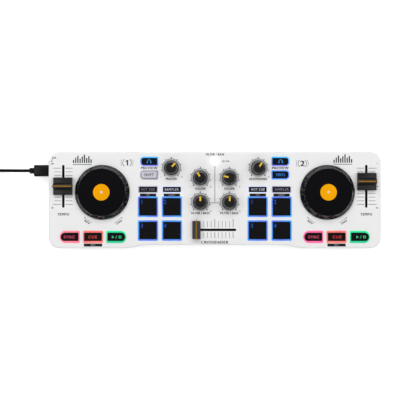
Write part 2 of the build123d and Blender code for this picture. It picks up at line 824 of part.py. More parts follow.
with BuildPart() as usb_plug:
    block(
        (plug_face_x, usb_y - tongue_size[0] / 2, socket_z - tongue_size[1] / 2),
        (socket_mouth_x + tongue_reach, usb_y + tongue_size[0] / 2, socket_z + tongue_size[1] / 2),
    )
    plug_plane = Plane(origin=(plug_face_x, usb_y, socket_z), x_dir=(0, 1, 0), z_dir=(-1, 0, 0))
    with BuildSketch(plug_plane):
        RectangleRounded(plug_size[0], plug_size[1], plug_corner)
    extrude(amount=plug_length)
    relief_plane = plug_plane.offset(plug_length)
    with BuildSketch(relief_plane) as relief_root:
        Circle(relief_radius)
    with BuildSketch(relief_plane.offset(relief_length)) as relief_tip:
        Circle(relief_tip_radius)
    loft(sections=[relief_root.sketch, relief_tip.sketch])
save(usb_plug, "usb_plug")

# Each bend of the lead is as wide as its two runs allow.
runs = [Vector(b) - Vector(a) for a, b in zip(cable_route, cable_route[1:])]
bends = []
for run, following in zip(runs, runs[1:]):
    shorter = min(run.length, following.length)
    bends.append(0.45 * shorter / tan(radians(run.get_angle(following)) / 2))
print("lead bend radii:", [round(bend, 1) for bend in bends])

exit_x = coil_x - coil_turn_radius
exit_z = coil_height - cable_radius
with BuildPart() as usb_cable:
    with BuildLine() as route:
        FilletPolyline(*cable_route, radius=bends)
    with BuildSketch(Plane(origin=cable_start, z_dir=(-1, 0, 0))):
        Circle(cable_radius)
    sweep(path=route.line)
    route_length = route.wire().length
    print("lead length:", round(route_length, 1))
    straight_volume = route_length * pi * cable_radius**2
    print("lead volume over section times length:", round(usb_cable.part.volume / straight_volume, 6))
    with BuildSketch(Plane(origin=(exit_x, coil_y, exit_z), z_dir=(0, -1, 0))):
        Circle(cable_radius)
    extrude(amount=a_plug_lead)
save(usb_cable, "usb_cable")

with BuildPart() as cable_coil:
    with BuildSketch():
        with Locations((coil_x, coil_y)):
            Circle(coil_outer)
            Circle(coil_inner, mode=Mode.SUBTRACT)
    extrude(amount=coil_height)
    block(
        (coil_x, usb_y - cable_radius - notch_gap, 0),
        (coil_x + coil_outer, usb_y + cable_radius, 2 * cable_radius + notch_gap),
        Mode.SUBTRACT,
    )
    block(
        (coil_x - coil_outer, coil_y - coil_outer, coil_height - 2 * cable_radius - notch_gap),
        (exit_x + cable_radius + notch_gap, coil_y, coil_height),
        Mode.SUBTRACT,
    )
save(cable_coil, "cable_coil")

with BuildPart() as usb_a_plug:
    relief_start = coil_y - a_plug_lead
    relief_plane = Plane(origin=(exit_x, relief_start, exit_z), x_dir=(1, 0, 0), z_dir=(0, -1, 0))
    with BuildSketch(relief_plane) as thin_end:
        Circle(a_plug_relief_radii[0])
    with BuildSketch(relief_plane.offset(a_plug_relief)) as thick_end:
        Circle(a_plug_relief_radii[1])
    loft(sections=[thin_end.sketch, thick_end.sketch])
    grip_start = relief_start - a_plug_relief
    with BuildSketch(relief_plane.offset(a_plug_relief)):
        RectangleRounded(a_plug_size[0], a_plug_size[2], a_plug_corner)
    extrude(amount=a_plug_size[1])
    shell_start = grip_start - a_plug_size[1]
    block(
        (exit_x - a_shell_size[0] / 2, shell_start - a_shell_size[1], exit_z - a_shell_size[2] / 2),
        (exit_x + a_shell_size[0] / 2, shell_start, exit_z + a_shell_size[2] / 2),
    )
    block(
        (
            exit_x - a_shell_size[0] / 2 + a_shell_wall,
            shell_start - a_shell_size[1],
            exit_z - a_shell_size[2] / 2 + a_shell_wall,
        ),
        (
            exit_x + a_shell_size[0] / 2 - a_shell_wall,
            shell_start,
            exit_z + a_shell_size[2] / 2 - a_shell_wall,
        ),
        Mode.SUBTRACT,
    )
    block(
        (exit_x - a_tongue_size[0] / 2, shell_start - a_tongue_size[1], exit_z),
        (exit_x + a_tongue_size[0] / 2, shell_start, exit_z + a_tongue_size[2]),
    )
save(usb_a_plug, "usb_a_plug")
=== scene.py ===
from math import cos, pi, radians, sin

import bmesh
import bpy
from mathutils import Matrix, Vector


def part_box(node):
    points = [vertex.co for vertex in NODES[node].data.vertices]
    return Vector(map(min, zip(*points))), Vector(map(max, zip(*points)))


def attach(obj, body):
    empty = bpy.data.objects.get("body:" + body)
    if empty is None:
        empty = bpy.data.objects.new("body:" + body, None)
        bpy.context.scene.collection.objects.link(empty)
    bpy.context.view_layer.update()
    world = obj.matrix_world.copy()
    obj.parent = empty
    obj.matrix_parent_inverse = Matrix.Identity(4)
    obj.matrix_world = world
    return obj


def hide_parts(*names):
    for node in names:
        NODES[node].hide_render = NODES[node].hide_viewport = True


bl_info = {
    "name": "DJ controller",
    "version": (1, 0, 0),
    "blender": (4, 5, 0),
    "location": "3D View > Sidebar > DJ controller",
    "description": "Dresses a two-deck DJ controller: keys, jog wheels, knobs, faders, print and lead",
    "category": "Object",
}

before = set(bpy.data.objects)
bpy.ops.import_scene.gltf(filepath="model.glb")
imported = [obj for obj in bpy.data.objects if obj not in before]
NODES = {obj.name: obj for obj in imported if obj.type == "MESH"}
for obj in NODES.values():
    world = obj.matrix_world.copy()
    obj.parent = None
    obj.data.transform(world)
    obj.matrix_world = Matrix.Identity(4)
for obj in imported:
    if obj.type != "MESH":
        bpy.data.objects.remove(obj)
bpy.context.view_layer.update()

MM = 0.001
FULL = 2 * pi
SIDES = ("left", "right")
# Two points nearer in height than this stand level.
LEVEL = 1e-4

# Distance from one patch or line of a pattern to the next, in millimetres.
TONE_DRIFT = 35.7
GLOSS_DRIFT = 6.25
GLOW_DRIFT = 14.3
WINDOW_DRIFT = 8.33
LENS_HAZE = 1.11
DISC_DRIFT = 25
SLEEVE_DRIFT = 3.33
PAPER_DRIFT = 167
BOARD_PARTS = 3.85
BOARD_TRACKS = 5.56

# Heights over the floor, in millimetres.
PANEL = 28.5
PANEL_UNDER = 26.5
FRAME_LOW = 25.3
FRAME_HIGH = 29.0
WHEEL_BASE = 29.1
FADER_BASE = 29.2
# How far a lit window or a pointer stands over its surface, and how deep it goes.
INLAY = 0.06

# Walls of the frame round each family of keys, in millimetres: beside it, then before and behind it.
FAMILIES = {"pad": (1.15, 1.4), "mode": (0.75, 0.75), "transport": (1.1, 1.9), "small": (1.0, 1.0)}
KEY_GAP = 0.3
KEY_FLANGE = 1.0
# Corner radii of the frames.
SQUARE = 1.3
MODE_CORNER = 0.8
SMALL_ROUND = 3.6
FULL_ROUND = 6.1

# Each key: its family, the frame's left and right corner radii, and which light guide it has.
KEYS = {}
for _side in SIDES:
    for _number in range(1, 5):
        KEYS[f"pad_{_side}_{_number}"] = ("pad", SQUARE, SQUARE, "pads")
    for _place, _guide in (("inner", "mode_bright"), ("outer", "mode_dim")):
        KEYS[f"mode_button_{_side}_{_place}"] = ("mode", MODE_CORNER, MODE_CORNER, _guide)
    KEYS[f"sync_button_{_side}"] = ("transport", FULL_ROUND, SQUARE, "sync_" + _side)
    KEYS[f"cue_button_{_side}"] = ("transport", SQUARE, SQUARE, "cue")
    KEYS[f"play_button_{_side}"] = ("transport", SQUARE, FULL_ROUND, "play")
KEYS["headphone_button_left"] = ("small", SMALL_ROUND, SQUARE, "preview")
KEYS["headphone_button_right"] = ("small", SQUARE, SMALL_ROUND, "preview")
KEYS["shift_button"] = ("small", SMALL_ROUND, SQUARE, "shift")
KEYS["vinyl_button"] = ("small", SQUARE, SMALL_ROUND, "vinyl")

# Distance of each fader slot's middle behind the middle of the case, in millimetres.
TEMPO_Y = 14.1
CROSSFADER_Y = -30.7


# ---------------------------------------------------------------- colour and nodes
def linear(code):
    """Linear RGB of an sRGB hex code."""
    parts = [int(code[i : i + 2], 16) / 255 for i in (1, 3, 5)]
    return tuple(p / 12.92 if p <= 0.04045 else ((p + 0.055) / 1.055) ** 2.4 for p in parts)


def paint(code):
    """Linear RGBA of an sRGB hex code or of a colour property."""
    return (*(linear(code) if isinstance(code, str) else code), 1.0)


def add(tree, kind, settings=None, **sockets):
    """Adds one node, sets its options, and sets or links its inputs by name."""
    made = tree.nodes.new("ShaderNode" + kind)
    for key, value in (settings or {}).items():
        setattr(made, key, value)
    for key, value in sockets.items():
        socket = made.inputs[key.replace("_", " ")]
        if isinstance(value, bpy.types.NodeSocket):
            tree.links.new(value, socket)
        else:
            socket.default_value = value
    return made


def blank(name):
    """A node material holding only its shader, with the tree and the shader."""
    made = bpy.data.materials.new(name)
    made.use_nodes = True
    tree = made.node_tree
    tree.nodes.clear()
    shader = add(tree, "BsdfPrincipled")
    output = add(tree, "OutputMaterial")
    tree.links.new(shader.outputs["BSDF"], output.inputs["Surface"])
    return made, tree, shader


def between(tree, factor, low, high):
    """Maps a 0 to 1 factor to a range of numbers."""
    return add(tree, "MapRange", None, Value=factor, To_Min=low, To_Max=high).outputs["Result"]


def blend_colours(tree, factor, first, second):
    """Mixes two colours by a factor."""
    mix = add(tree, "Mix", {"data_type": "RGBA"})
    tree.links.new(factor, mix.inputs["Factor"])
    for socket, value in ((mix.inputs[6], first), (mix.inputs[7], second)):
        if isinstance(value, bpy.types.NodeSocket):
            tree.links.new(value, socket)
        else:
            socket.default_value = value
    return mix.outputs[2]


def noise(tree, size, detail=3.0, stretch=(1, 1, 1)):
    """Noise on the piece's own coordinates, its features so many millimetres apart."""
    where = add(tree, "TexCoord").outputs["Object"]
    placed = add(tree, "Mapping", None, Vector=where, Scale=stretch)
    made = add(tree, "TexNoise", None, Vector=placed.outputs[0], Scale=1 / (size * MM), Detail=detail)
    return made.outputs[0]


def shaded(tree, colour, mottle, factor):
    """A colour that drifts to a darker tone of itself."""
    dark = paint(tuple(c * (1 - mottle) for c in paint(colour)[:3]))
    return blend_colours(tree, factor, dark, paint(colour))


def relief(tree, shader, height, depth, strength):
    """Bump on a shader from a pattern, its depth in millimetres."""
    bump = add(tree, "Bump", None, Height=height, Distance=depth * MM, Strength=strength)
    tree.links.new(bump.outputs[0], shader.inputs["Normal"])


def moulded(name, colour, rough=0.4, grain=0.45, depth=0.04, mottle=0.06, coat=0.0, metal=0.0, specular=0.5):
    """Moulded, painted or cast material: tone drifts slowly, gloss varies, and a fine grain shows."""
    made, tree, shader = blank(name)
    tree.links.new(shaded(tree, colour, mottle, noise(tree, TONE_DRIFT, 4)), shader.inputs["Base Color"])
    smear = noise(tree, GLOSS_DRIFT, 5, (1, 0.6, 1))
    tree.links.new(between(tree, smear, rough * 0.82, min(rough * 1.18, 1)), shader.inputs["Roughness"])
    relief(tree, shader, noise(tree, grain, 2), depth, 0.6)
    shader.inputs["Coat Weight"].default_value = coat
    shader.inputs["Coat Roughness"].default_value = 0.12
    shader.inputs["Metallic"].default_value = metal
    shader.inputs["Specular IOR Level"].default_value = specular
    return made


def lit(name, first, second, strength, drift=GLOW_DRIFT, row=None):
    """Polycarbonate lit from under it: the glow drifts between two tones, or changes along a row of keys."""
    made, tree, shader = blank(name)
    if row:
        along = add(tree, "SeparateXYZ", None, Vector=add(tree, "TexCoord").outputs["Object"]).outputs["Y"]
        ramp = add(tree, "MapRange", None, Value=along, From_Min=row[1], From_Max=row[0]).outputs[0]
    else:
        glow = noise(tree, drift, 1)
        ramp = add(tree, "MapRange", None, Value=glow, From_Min=0.36, From_Max=0.64).outputs[0]
    tree.links.new(blend_colours(tree, ramp, paint(first), paint(second)), shader.inputs["Emission Color"])
    shader.inputs["Emission Strength"].default_value = strength
    shader.inputs["Base Color"].default_value = paint("#202028")
    tree.links.new(between(tree, noise(tree, LENS_HAZE, 2), 0.3, 0.5), shader.inputs["Roughness"])
    return made


def grooved(name, colour, rough, pitch, centre, depth=0.03, specular=0.3):
    """Disc with fine round grooves, their pitch and centre in millimetres."""
    made, tree, shader = blank(name)
    where = add(tree, "TexCoord").outputs["Object"]
    placed = add(tree, "Mapping", None, Vector=where, Location=tuple(-c * MM for c in centre))
    rings = add(
        tree, "TexWave", {"wave_type": "RINGS", "rings_direction": "Z"},
        Vector=placed.outputs[0], Scale=1 / (2 * pitch * MM), Distortion=0.0,
    )
    relief(tree, shader, rings.outputs["Fac"], depth, 0.35)
    tone = noise(tree, DISC_DRIFT, 4)
    tree.links.new(shaded(tree, colour, 0.2, tone), shader.inputs["Base Color"])
    tree.links.new(between(tree, tone, rough * 0.9, rough * 1.1), shader.inputs["Roughness"])
    shader.inputs["Specular IOR Level"].default_value = specular
    return made


def board_finish(name):
    """Glass-fibre circuit board with solder mask: tracks show as raised lines under the lacquer."""
    made, tree, shader = blank(name)
    where = add(tree, "TexCoord").outputs["Object"]
    parts = {"distance": "CHEBYCHEV", "feature": "F1"}
    cells = add(tree, "TexVoronoi", parts, Vector=where, Scale=1 / (BOARD_PARTS * MM))
    bricks = add(tree, "TexBrick", None, Vector=where, Scale=1 / (BOARD_TRACKS * MM), Mortar_Size=0.06)
    tracks = bricks.outputs["Fac"]
    green = blend_colours(tree, tracks, paint("#0E3A24"), paint("#1C5A38"))
    tree.links.new(green, shader.inputs["Base Color"])
    relief(tree, shader, tracks, 0.03, 0.5)
    tree.links.new(between(tree, cells.outputs["Distance"], 0.25, 0.45), shader.inputs["Roughness"])
    return made


def sleeve_finish(name):
    """Printed shrink sleeve on a round cell: a dark body with copper bands 52 mm apart."""
    made, tree, shader = blank(name)
    along = add(tree, "SeparateXYZ", None, Vector=add(tree, "TexCoord").outputs["Object"]).outputs["X"]
    scaled = add(tree, "MapRange", {"clamp": False}, Value=along, To_Max=120.0).outputs[0]
    wave = add(tree, "Math", {"operation": "SINE"}, Value=scaled).outputs[0]
    step = add(tree, "MapRange", None, Value=wave, From_Min=0.55, From_Max=0.6).outputs[0]
    tree.links.new(blend_colours(tree, step, paint("#22252A"), paint("#B4743A")), shader.inputs["Base Color"])
    tree.links.new(between(tree, noise(tree, SLEEVE_DRIFT), 0.25, 0.4), shader.inputs["Roughness"])
    return made


FINISH = {}

# First tone, second tone and brightness of each light guide: back-lit frosted polycarbonate, whose
# even glow has soft patches between the lamps under it.
GUIDES = {
    "sync_left": ("#F08290", "#E86F88", 1.2),
    "sync_right": ("#F06AA0", "#EE5F92", 1.2),
    "cue": ("#F07A6E", "#E26462", 1.2),
    "preview": ("#34B4F4", "#6F74EC", 1.2),
    "vinyl": ("#4C92F2", "#5C82F4", 1.3),
    "mode_bright": ("#D3DCF4", "#C2CEEC", 1.1),
    "mode_dim": ("#B0ADC2", "#918EA6", 1.2),
}
# Guides whose tone changes from the front of a key to its rear.
GUIDE_ROWS = {"preview": "headphone_button_left", "play": "play_button_left"}
# The same for the laser-cut windows in the keys: thin bright lines with sharp edges.
WINDOWS = {
    "digit": ("#1C5CC4", "#2A48BC", 0.8),
    "cyan": ("#2C9BE8", "#2A7FE0", 1.0),
    "sync": ("#EC4A74", "#E03C6A", 1.0),
    "cue": ("#E8443C", "#D83A34", 0.9),
    "play": ("#14D284", "#0FBF76", 0.95),
    "white": ("#E6E8F2", "#C4C8DC", 0.9),
    "grey": ("#9A98A8", "#8A8898", 0.8),
}


def prepare_finishes(scene):
    """Makes every material once, each named after the real material and how it is made."""
    case, glow, ink, controls = scene.dj_case, scene.dj_glow, scene.dj_print, scene.dj_controls
    # Finish, material, colour, roughness, grain and its depth in millimetres, mottle, coat, metal, specular.
    # Grains under half a millimetre are drawn coarser than the real ones, so that they show at all.
    for finish, *values in (
        # Satin paint over moulded ABS: an even white with broad, soft light on it.
        ("white_case", "sprayed_white_abs", case.white, 0.42, 0.38, 0.02, 0.015),
        # Spark-eroded ABS underneath: a fine matt texture that takes the shine off.
        ("black_case", "spark_eroded_black_abs", case.black, 0.6, 0.67, 0.08),
        # Polished ABS of the jog rims: a bright streak along each facet.
        ("black_gloss", "polished_black_abs", controls.gloss_black, 0.17, 0.29, 0.01, 0.2, 0.15, 0, 0.42),
        # Silicone rubber of the keys: near black, with hardly any shine.
        ("key_black", "matt_black_silicone", controls.key_black, 0.55, 0.33, 0.03, 0.2, 0, 0, 0.08),
        # Frosted silicone of the key whose light is off: a milky lilac grey.
        ("key_grey", "frosted_grey_silicone", glow.unlit, 0.5, 0.38, 0.03, 0.04),
        # Nylon polished in its mould: clear light rings round each knob.
        ("knob_black", "polished_black_nylon", controls.gloss_black, 0.22, 0.33, 0.01, 0.2, 0.3, 0, 0.5),
        # Satin acetal of the tempo caps: a soft gleam on each slope.
        ("fader_black", "satin_black_pom", controls.fader_black, 0.4, 0.42, 0.03, 0.15, 0, 0, 0.28),
        # The same acetal, dyed grey, on the crossfader.
        ("fader_grey", "satin_grey_pom", "#3C3C3E", 0.4, 0.42, 0.03, 0.12, 0, 0, 0.28),
        # Soft elastomer moulded over the plugs: dark, with a blurred sheen.
        ("plug_black", "moulded_black_tpe", "#0A0A0B", 0.34, 0.5, 0.02, 0.15, 0, 0, 0.16),
        # Pad-printed pointers: a thick warm yellow, slightly uneven.
        ("pointer", "pad_printed_yellow", controls.pointer, 0.45, 0.4, 0.02, 0.05),
        # Hot-foiled lines on the faders: dull gold with a little metal in it.
        ("gold", "hot_foiled_gold", controls.fader_line, 0.45, 0.4, 0.02, 0.15, 0, 0.2, 0.25),
        # Turned nylon in the middle of each jog wheel: off-white and waxy.
        ("label_dot", "turned_white_nylon", "#D9D5CB", 0.5),
        # Rolled steel of shells and levers: bright, with faint streaks.
        ("steel", "rolled_bright_steel", "#B9BCC0", 0.28, 1.11, 0.02, 0.1, 0, 1.0),
        # Zinc-plated screws: greyer and a little rougher than the steel.
        ("screw_steel", "zinc_plated_steel", "#A9ABA8", 0.34, 0.83, 0.03, 0.15, 0, 1.0),
        # Moulded epoxy of the chips: charcoal with a sandy grain.
        ("component_black", "transfer_moulded_epoxy", "#141416", 0.5, 0.5, 0.04, 0.2),
        # Die-cut rubber feet: dull and coarse.
        ("foot_rubber", "die_cut_black_rubber", "#1A1A1B", 0.85, 1.11, 0.12, 0.2, 0, 0, 0.25),
        # Extruded PVC of the lead: near black, with a faint line of light along it.
        ("cord_pvc", "extruded_black_pvc", "#080809", 0.5, 0.71, 0.04, 0.15, 0, 0, 0.06),
        # Felt strips under the slots, a black sheet that paints the shade in their depth: black with no shine
        # at all.
        ("felt", "black_felt_painted_slot_shade", "#0A0A0B", 0.95, 0.45, 0.2, 0.3, 0, 0, 0.05),
        # Woven tie: dull black with a coarse, loopy grain.
        ("tie", "woven_black_nylon", "#1B1B1D", 0.8, 0.56, 0.15, 0.2),
        # Screen-printed inks: flat and matt, with clean edges.
        ("ink_black", "screen_printed_black_ink", ink.dark, 0.6, 0.33, 0.01, 0.05, 0, 0, 0.2),
        ("ink_grey", "screen_printed_grey_ink", ink.grey, 0.6, 0.33, 0.01, 0.05, 0, 0, 0.2),
        # This light grey ink also paints the shade round each knob: a ring on the panel beside it.
        ("ink_pale", "screen_printed_pale_ink", "#BDBDC0", 0.6, 0.33, 0.01, 0.04, 0, 0, 0.2),
        ("ink_white", "screen_printed_white_ink", "#C8C8CC", 0.6, 0.33, 0.01, 0.05),
        ("ink_lilac", "screen_printed_slate_ink", "#302E38", 0.6, 0.33, 0.01, 0.05),
        # Frosted polycarbonate with its light off: a cloudy pale grey.
        ("guide_shift", "frosted_polycarbonate_unlit", "#CFCEDB", 0.35, 0.56, 0.02, 0.05),
    ):
        FINISH[finish] = moulded(*values)
    # Printed paper under a clear film: strong orange, matt, with the disc's own faint rings.
    FINISH["label"] = grooved("offset_printed_orange_paper", controls.label, 0.55, 0.6, (0, 0, 0), 0.01, 0.04)
    # Solder mask on glass fibre: glossy green over raised tracks.
    FINISH["circuit_board"] = board_finish("solder_masked_glass_fibre")
    # Shrink sleeve on the cells: dark film with copper bands.
    FINISH["cell_wrap"] = sleeve_finish("printed_shrink_sleeve")
    # Opal polycarbonate over a lamp: an even cool white.
    FINISH["white_lens"] = lit("lit_opal_polycarbonate", "#F4FFFF", "#FFFFFF", glow.strength * 1.1)
    guides = {"pads": (glow.blue, glow.violet, 1.08), "play": (glow.green, "#18C890", 1.1), **GUIDES}
    for key, (first, second, level) in guides.items():
        row = [corner[1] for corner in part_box(GUIDE_ROWS[key])] if key in GUIDE_ROWS else None
        FINISH["guide_" + key] = lit(
            "lit_frosted_polycarbonate_" + key, first, second, glow.strength * level, row=row
        )
    for key, (first, second, level) in WINDOWS.items():
        FINISH["lit_" + key] = lit(
            "laser_cut_window_" + key, first, second, glow.strength * level, WINDOW_DRIFT
        )


# ---------------------------------------------------------------- mesh helpers
def finish_piece(name, bm, finish, body, replaces=(), soft=32.0, merge=True):
    """Closes a mesh, gives it its material and its body, and hides the CAD nodes it stands for."""
    if merge:
        bmesh.ops.remove_doubles(bm, verts=bm.verts, dist=0.002)
    bmesh.ops.recalc_face_normals(bm, faces=bm.faces)
    bmesh.ops.scale(bm, vec=(MM, MM, MM), verts=bm.verts)
    mesh = bpy.data.meshes.new(name)
    bm.to_mesh(mesh)
    bm.free()
    for face in mesh.polygons:
        face.use_smooth = True
    mesh.set_sharp_from_angle(angle=radians(soft))
    for entry in finish if isinstance(finish, (list, tuple)) else [finish]:
        mesh.materials.append(FINISH[entry])
    piece = bpy.data.objects.new(name, mesh)
    bpy.context.scene.collection.objects.link(piece)
    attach(piece, body)
    if replaces:
        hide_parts(*([replaces] if isinstance(replaces, str) else replaces))
    return piece


def extent(name):
    """Lowest and highest corner of a CAD node, in millimetres."""
    low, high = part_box(name)
    return Vector(low) / MM, Vector(high) / MM


def middle(name):
    """Centre of a CAD node in plan, and the height of its top, in millimetres."""
    low, high = extent(name)
    return (low.x + high.x) / 2, (low.y + high.y) / 2, high.z


def lathe(bm, profile, x=0.0, y=0.0, steps=64):
    """Spins a profile of (radius, height) pairs round an upright axis."""
    verts = [bm.verts.new((x + r, y, z)) for r, z in profile]
    edges = [bm.edges.new(pair) for pair in zip(verts, verts[1:])]
    bmesh.ops.spin(
        bm, geom=verts + edges, cent=(x, y, 0), axis=(0, 0, 1), angle=FULL, steps=steps, use_merge=True
    )
    bmesh.ops.remove_doubles(bm, verts=bm.verts, dist=0.0005)


def closed_ring(bm, profile, x, y, steps=64, start=0.0, angle=FULL):
    """Spins a closed profile of (radius, height) pairs round an upright axis, whole or part of the way."""
    verts = [bm.verts.new((x + r * cos(start), y + r * sin(start), z)) for r, z in profile]
    full = abs(angle - FULL) < 1e-6
    if full:
        edges = [bm.edges.new((verts[i - 1], verts[i])) for i in range(len(verts))]
        geom = verts + edges
    else:
        geom = [bm.faces.new(verts)]
    bmesh.ops.spin(bm, geom=geom, cent=(x, y, 0), axis=(0, 0, 1), angle=angle, steps=steps, use_merge=full)


def band(bm, x, y, inner, outer, low, high, steps=48, start=0.0, angle=FULL):
    """Flat ring or arc of a square section."""
    profile = [(inner, low), (outer, low), (outer, high), (inner, high)]
    closed_ring(bm, profile, x, y, steps, start, angle)


def bar(bm, x, y, width, depth, low, high, turn=0.0):
    """Upright block centred on a point in plan, turned about it."""
    place = Matrix.Translation((x, y, (low + high) / 2)) @ Matrix.Rotation(turn, 4, "Z")
    sized = place @ Matrix.Diagonal((width, depth, high - low, 1.0))
    return bmesh.ops.create_cube(bm, size=1.0, matrix=sized)["verts"]


def arrow(bm, x, y, radius, low, high, turn):
    """Upright block with three sides, as for an arrow head or a play mark."""
    place = Matrix.Translation((x, y, (low + high) / 2)) @ Matrix.Rotation(turn, 4, "Z")
    bmesh.ops.create_cone(
        bm, segments=3, radius1=radius, radius2=radius, depth=high - low, cap_ends=True, matrix=place
    )


def outline(bm, x, y, width, depth, left, right, z, segments=8):
    """Flat face with its own corner radius on each side."""
    corners = bmesh.ops.create_grid(
        bm, x_segments=1, y_segments=1, size=0.5,
        matrix=Matrix.Translation((x, y, z)) @ Matrix.Diagonal((width, depth, 1.0, 1.0)),
    )["verts"]
    most = 0.49 * min(width, depth)
    for side, radius in ((-1, left), (1, right)):
        pair = [v for v in corners if v.is_valid and (v.co.x - x) * side > 0]
        bmesh.ops.bevel(
            bm, geom=pair, offset=min(radius, most), offset_type="OFFSET", affect="VERTICES",
            segments=segments, profile=0.5, material=-1,
        )


def round_edges(bm, edges, radius, segments):
    """Bevels edges, each kept clear of its neighbours."""
    bmesh.ops.bevel(
        bm, geom=edges, offset=radius, offset_type="OFFSET", affect="EDGES", segments=segments,
        profile=0.5, material=-1, clamp_overlap=True,
    )


def pull(bm, faces, move):
    """Extrudes faces by a move, which makes a flat shape solid."""
    made = bmesh.ops.extrude_face_region(bm, geom=faces)["geom"]
    bmesh.ops.translate(bm, verts=[g for g in made if isinstance(g, bmesh.types.BMVert)], vec=move)


def at_height(edge, z):
    """True for an edge that lies in the plane of a height."""
    return all(abs(v.co.z - z) < LEVEL / 10 for v in edge.verts)


def level_edges(bm):
    """The edges that lie level."""
    return [e for e in bm.edges if abs(e.verts[0].co.z - e.verts[1].co.z) < LEVEL]


def plate(bm, x, y, width, depth, left, right, low, high, edge=0.0, segments=8):
    """Solid plate of that outline, its upper edge rounded."""
    own = bmesh.new()
    outline(own, x, y, width, depth, left, right, high, segments)
    pull(own, list(own.faces), (0, 0, low - high))
    if edge:
        round_edges(own, [e for e in own.edges if at_height(e, high)], edge, 2)
    pour(own, bm)


def pour(source, target):
    """Adds one mesh to another and frees it."""
    holder = bpy.data.meshes.new("holder")
    source.to_mesh(holder)
    source.free()
    target.from_mesh(holder)
    bpy.data.meshes.remove(holder)


def frame_ring(bm, x, y, outer, inner, low, high, edge=0.25):
    """Ring between two outlines, each (width, depth, left radius, right radius)."""
    own = bmesh.new()
    for width, depth, left, right in (outer, inner):
        outline(own, x, y, width, depth, left, right, high)
    rims = list(own.edges)
    bmesh.ops.delete(own, geom=list(own.faces), context="FACES_ONLY")
    bmesh.ops.bridge_loops(own, edges=rims)
    pull(own, list(own.faces), (0, 0, low - high))
    crest = [
        e for e in own.edges if at_height(e, high) and any(abs(f.normal.z) < 0.5 for f in e.link_faces)
    ]
    own.normal_update()
    round_edges(own, crest, edge, 2)
    pour(own, bm)


# Each word is struck twice, the second a little to the right and up, which thickens its strokes.
# In shares of the type size: how far to the side beyond the word's boldness, and how far up.
STRIKE_WIDER = 0.002
STRIKE_TALLER = 0.012


def lettering(bm, words, x, y, z, width=None, height=None, turn=0.0, lift=INLAY, bold=0.01, spread=1.15):
    """Adds a word as a thin solid, sized by its real width or height, and struck twice to be bold."""
    curve = bpy.data.curves.new("word", "FONT")
    curve.body = words
    curve.extrude = 0.5
    curve.space_character = spread
    curve.resolution_u = 3
    holder = bpy.data.objects.new("word", curve)
    mesh = bpy.data.meshes.new_from_object(holder)
    own = bmesh.new()
    own.from_mesh(mesh)
    bpy.data.objects.remove(holder)
    bpy.data.curves.remove(curve)
    bpy.data.meshes.remove(mesh)
    bmesh.ops.remove_doubles(own, verts=own.verts, dist=1e-5)
    xs = [v.co.x for v in own.verts]
    ys = [v.co.y for v in own.verts]
    wide, tall = max(xs) - min(xs), max(ys) - min(ys)
    scale_x = width / wide if width else height / tall
    scale_y = height / tall if height else scale_x
    centre = Matrix.Translation((-(max(xs) + min(xs)) / 2, -(max(ys) + min(ys)) / 2, 0))
    sized = Matrix.Diagonal((scale_x, scale_y, 2 * lift, 1.0))
    place = Matrix.Translation((x, y, z)) @ Matrix.Rotation(turn, 4, "Z") @ sized @ centre
    for hand in (-1, 1):
        struck = own.copy()
        shift = Matrix.Translation(((bold + STRIKE_WIDER) * hand, STRIKE_TALLER * hand, 0))
        bmesh.ops.transform(struck, matrix=place @ shift, verts=struck.verts)
        pour(struck, bm)
    own.free()


def cap_size(name):
    """Width and depth of a key's cap, in millimetres, without the flange under the panel."""
    low, high = extent(name)
    return high.x - low.x - 2 * KEY_FLANGE, high.y - low.y - 2 * KEY_FLANGE


def dress(names, finish):
    """Gives CAD nodes a material from the set."""
    for name in names:
        piece = NODES[name]
        piece.data.materials.clear()
        piece.data.materials.append(FINISH[finish])


# ---------------------------------------------------------------- settings
def colour(name, description, code):
    """Colour setting with an sRGB default."""
    return bpy.props.FloatVectorProperty(
        name=name, description=description, subtype="COLOR", default=linear(code), min=0, max=1
    )


def distance(name, description, size, low, high):
    """Length setting, its default and limits given in millimetres."""
    return bpy.props.FloatProperty(
        name=name, description=description, default=size * MM, min=low * MM, max=high * MM,
        subtype="DISTANCE", unit="LENGTH",
    )


class DJCaseSettings(bpy.types.PropertyGroup):
    """Colours of the case."""

    white: colour("Top", "Colour of the upper shell", "#EFEFEF")
    black: colour("Underside", "Colour of the lower shell", "#1B1B1E")


class DJGlowSettings(bpy.types.PropertyGroup):
    """Colours and strength of the lit frames round the keys."""

    blue: colour("Pads, first tone", "Lighter tone of the pad frames", "#3F9AF4")
    violet: colour("Pads, second tone", "Deeper tone of the pad frames", "#5474E4")
    green: colour("Play", "Colour of the play frames", "#1CDE96")
    unlit: colour("Unlit key", "Colour of the key whose light is off", "#C9C7D4")
    strength: bpy.props.FloatProperty(
        name="Strength", description="How brightly the light guides glow", default=1.0, min=0, max=10
    )
    edge: distance("Edge", "Rounding of the frames' upper edges", 0.3, 0, 1)


class DJControlSettings(bpy.types.PropertyGroup):
    """Colours and small sizes of the jog wheels, knobs and faders."""

    gloss_black: colour("Polished black", "Colour of the jog rims and knobs", "#0F0F10")
    key_black: colour("Keys", "Colour of the black keys and jog tops", "#0B0B0E")
    fader_black: colour("Faders", "Colour of the fader caps", "#141415")
    fader_line: colour("Fader line", "Colour of the line on each fader cap", "#96690C")
    pointer: colour("Pointers", "Colour of the knob pointers", "#F0C01A")
    label: colour("Jog label", "Colour of the round label on each jog wheel", "#FFAE00")
    blades: bpy.props.IntProperty(
        name="Blades", description="Number of slanting facets round a jog rim", default=11, min=3, max=60
    )
    blade_depth: distance("Blade depth", "How far each facet steps in", 1.9, 0, 3)
    label_radius: distance("Label radius", "Radius of the round label", 8.4, 1, 20)


class DJPrintSettings(bpy.types.PropertyGroup):
    """Colours and thickness of the print on the panel."""

    dark: colour("Words", "Colour of the printed words", "#141416")
    grey: colour("Scales", "Colour of the printed scales", "#626265")
    lift: distance("Thickness", "How far the print stands on the panel", 0.05, 0.01, 0.3)


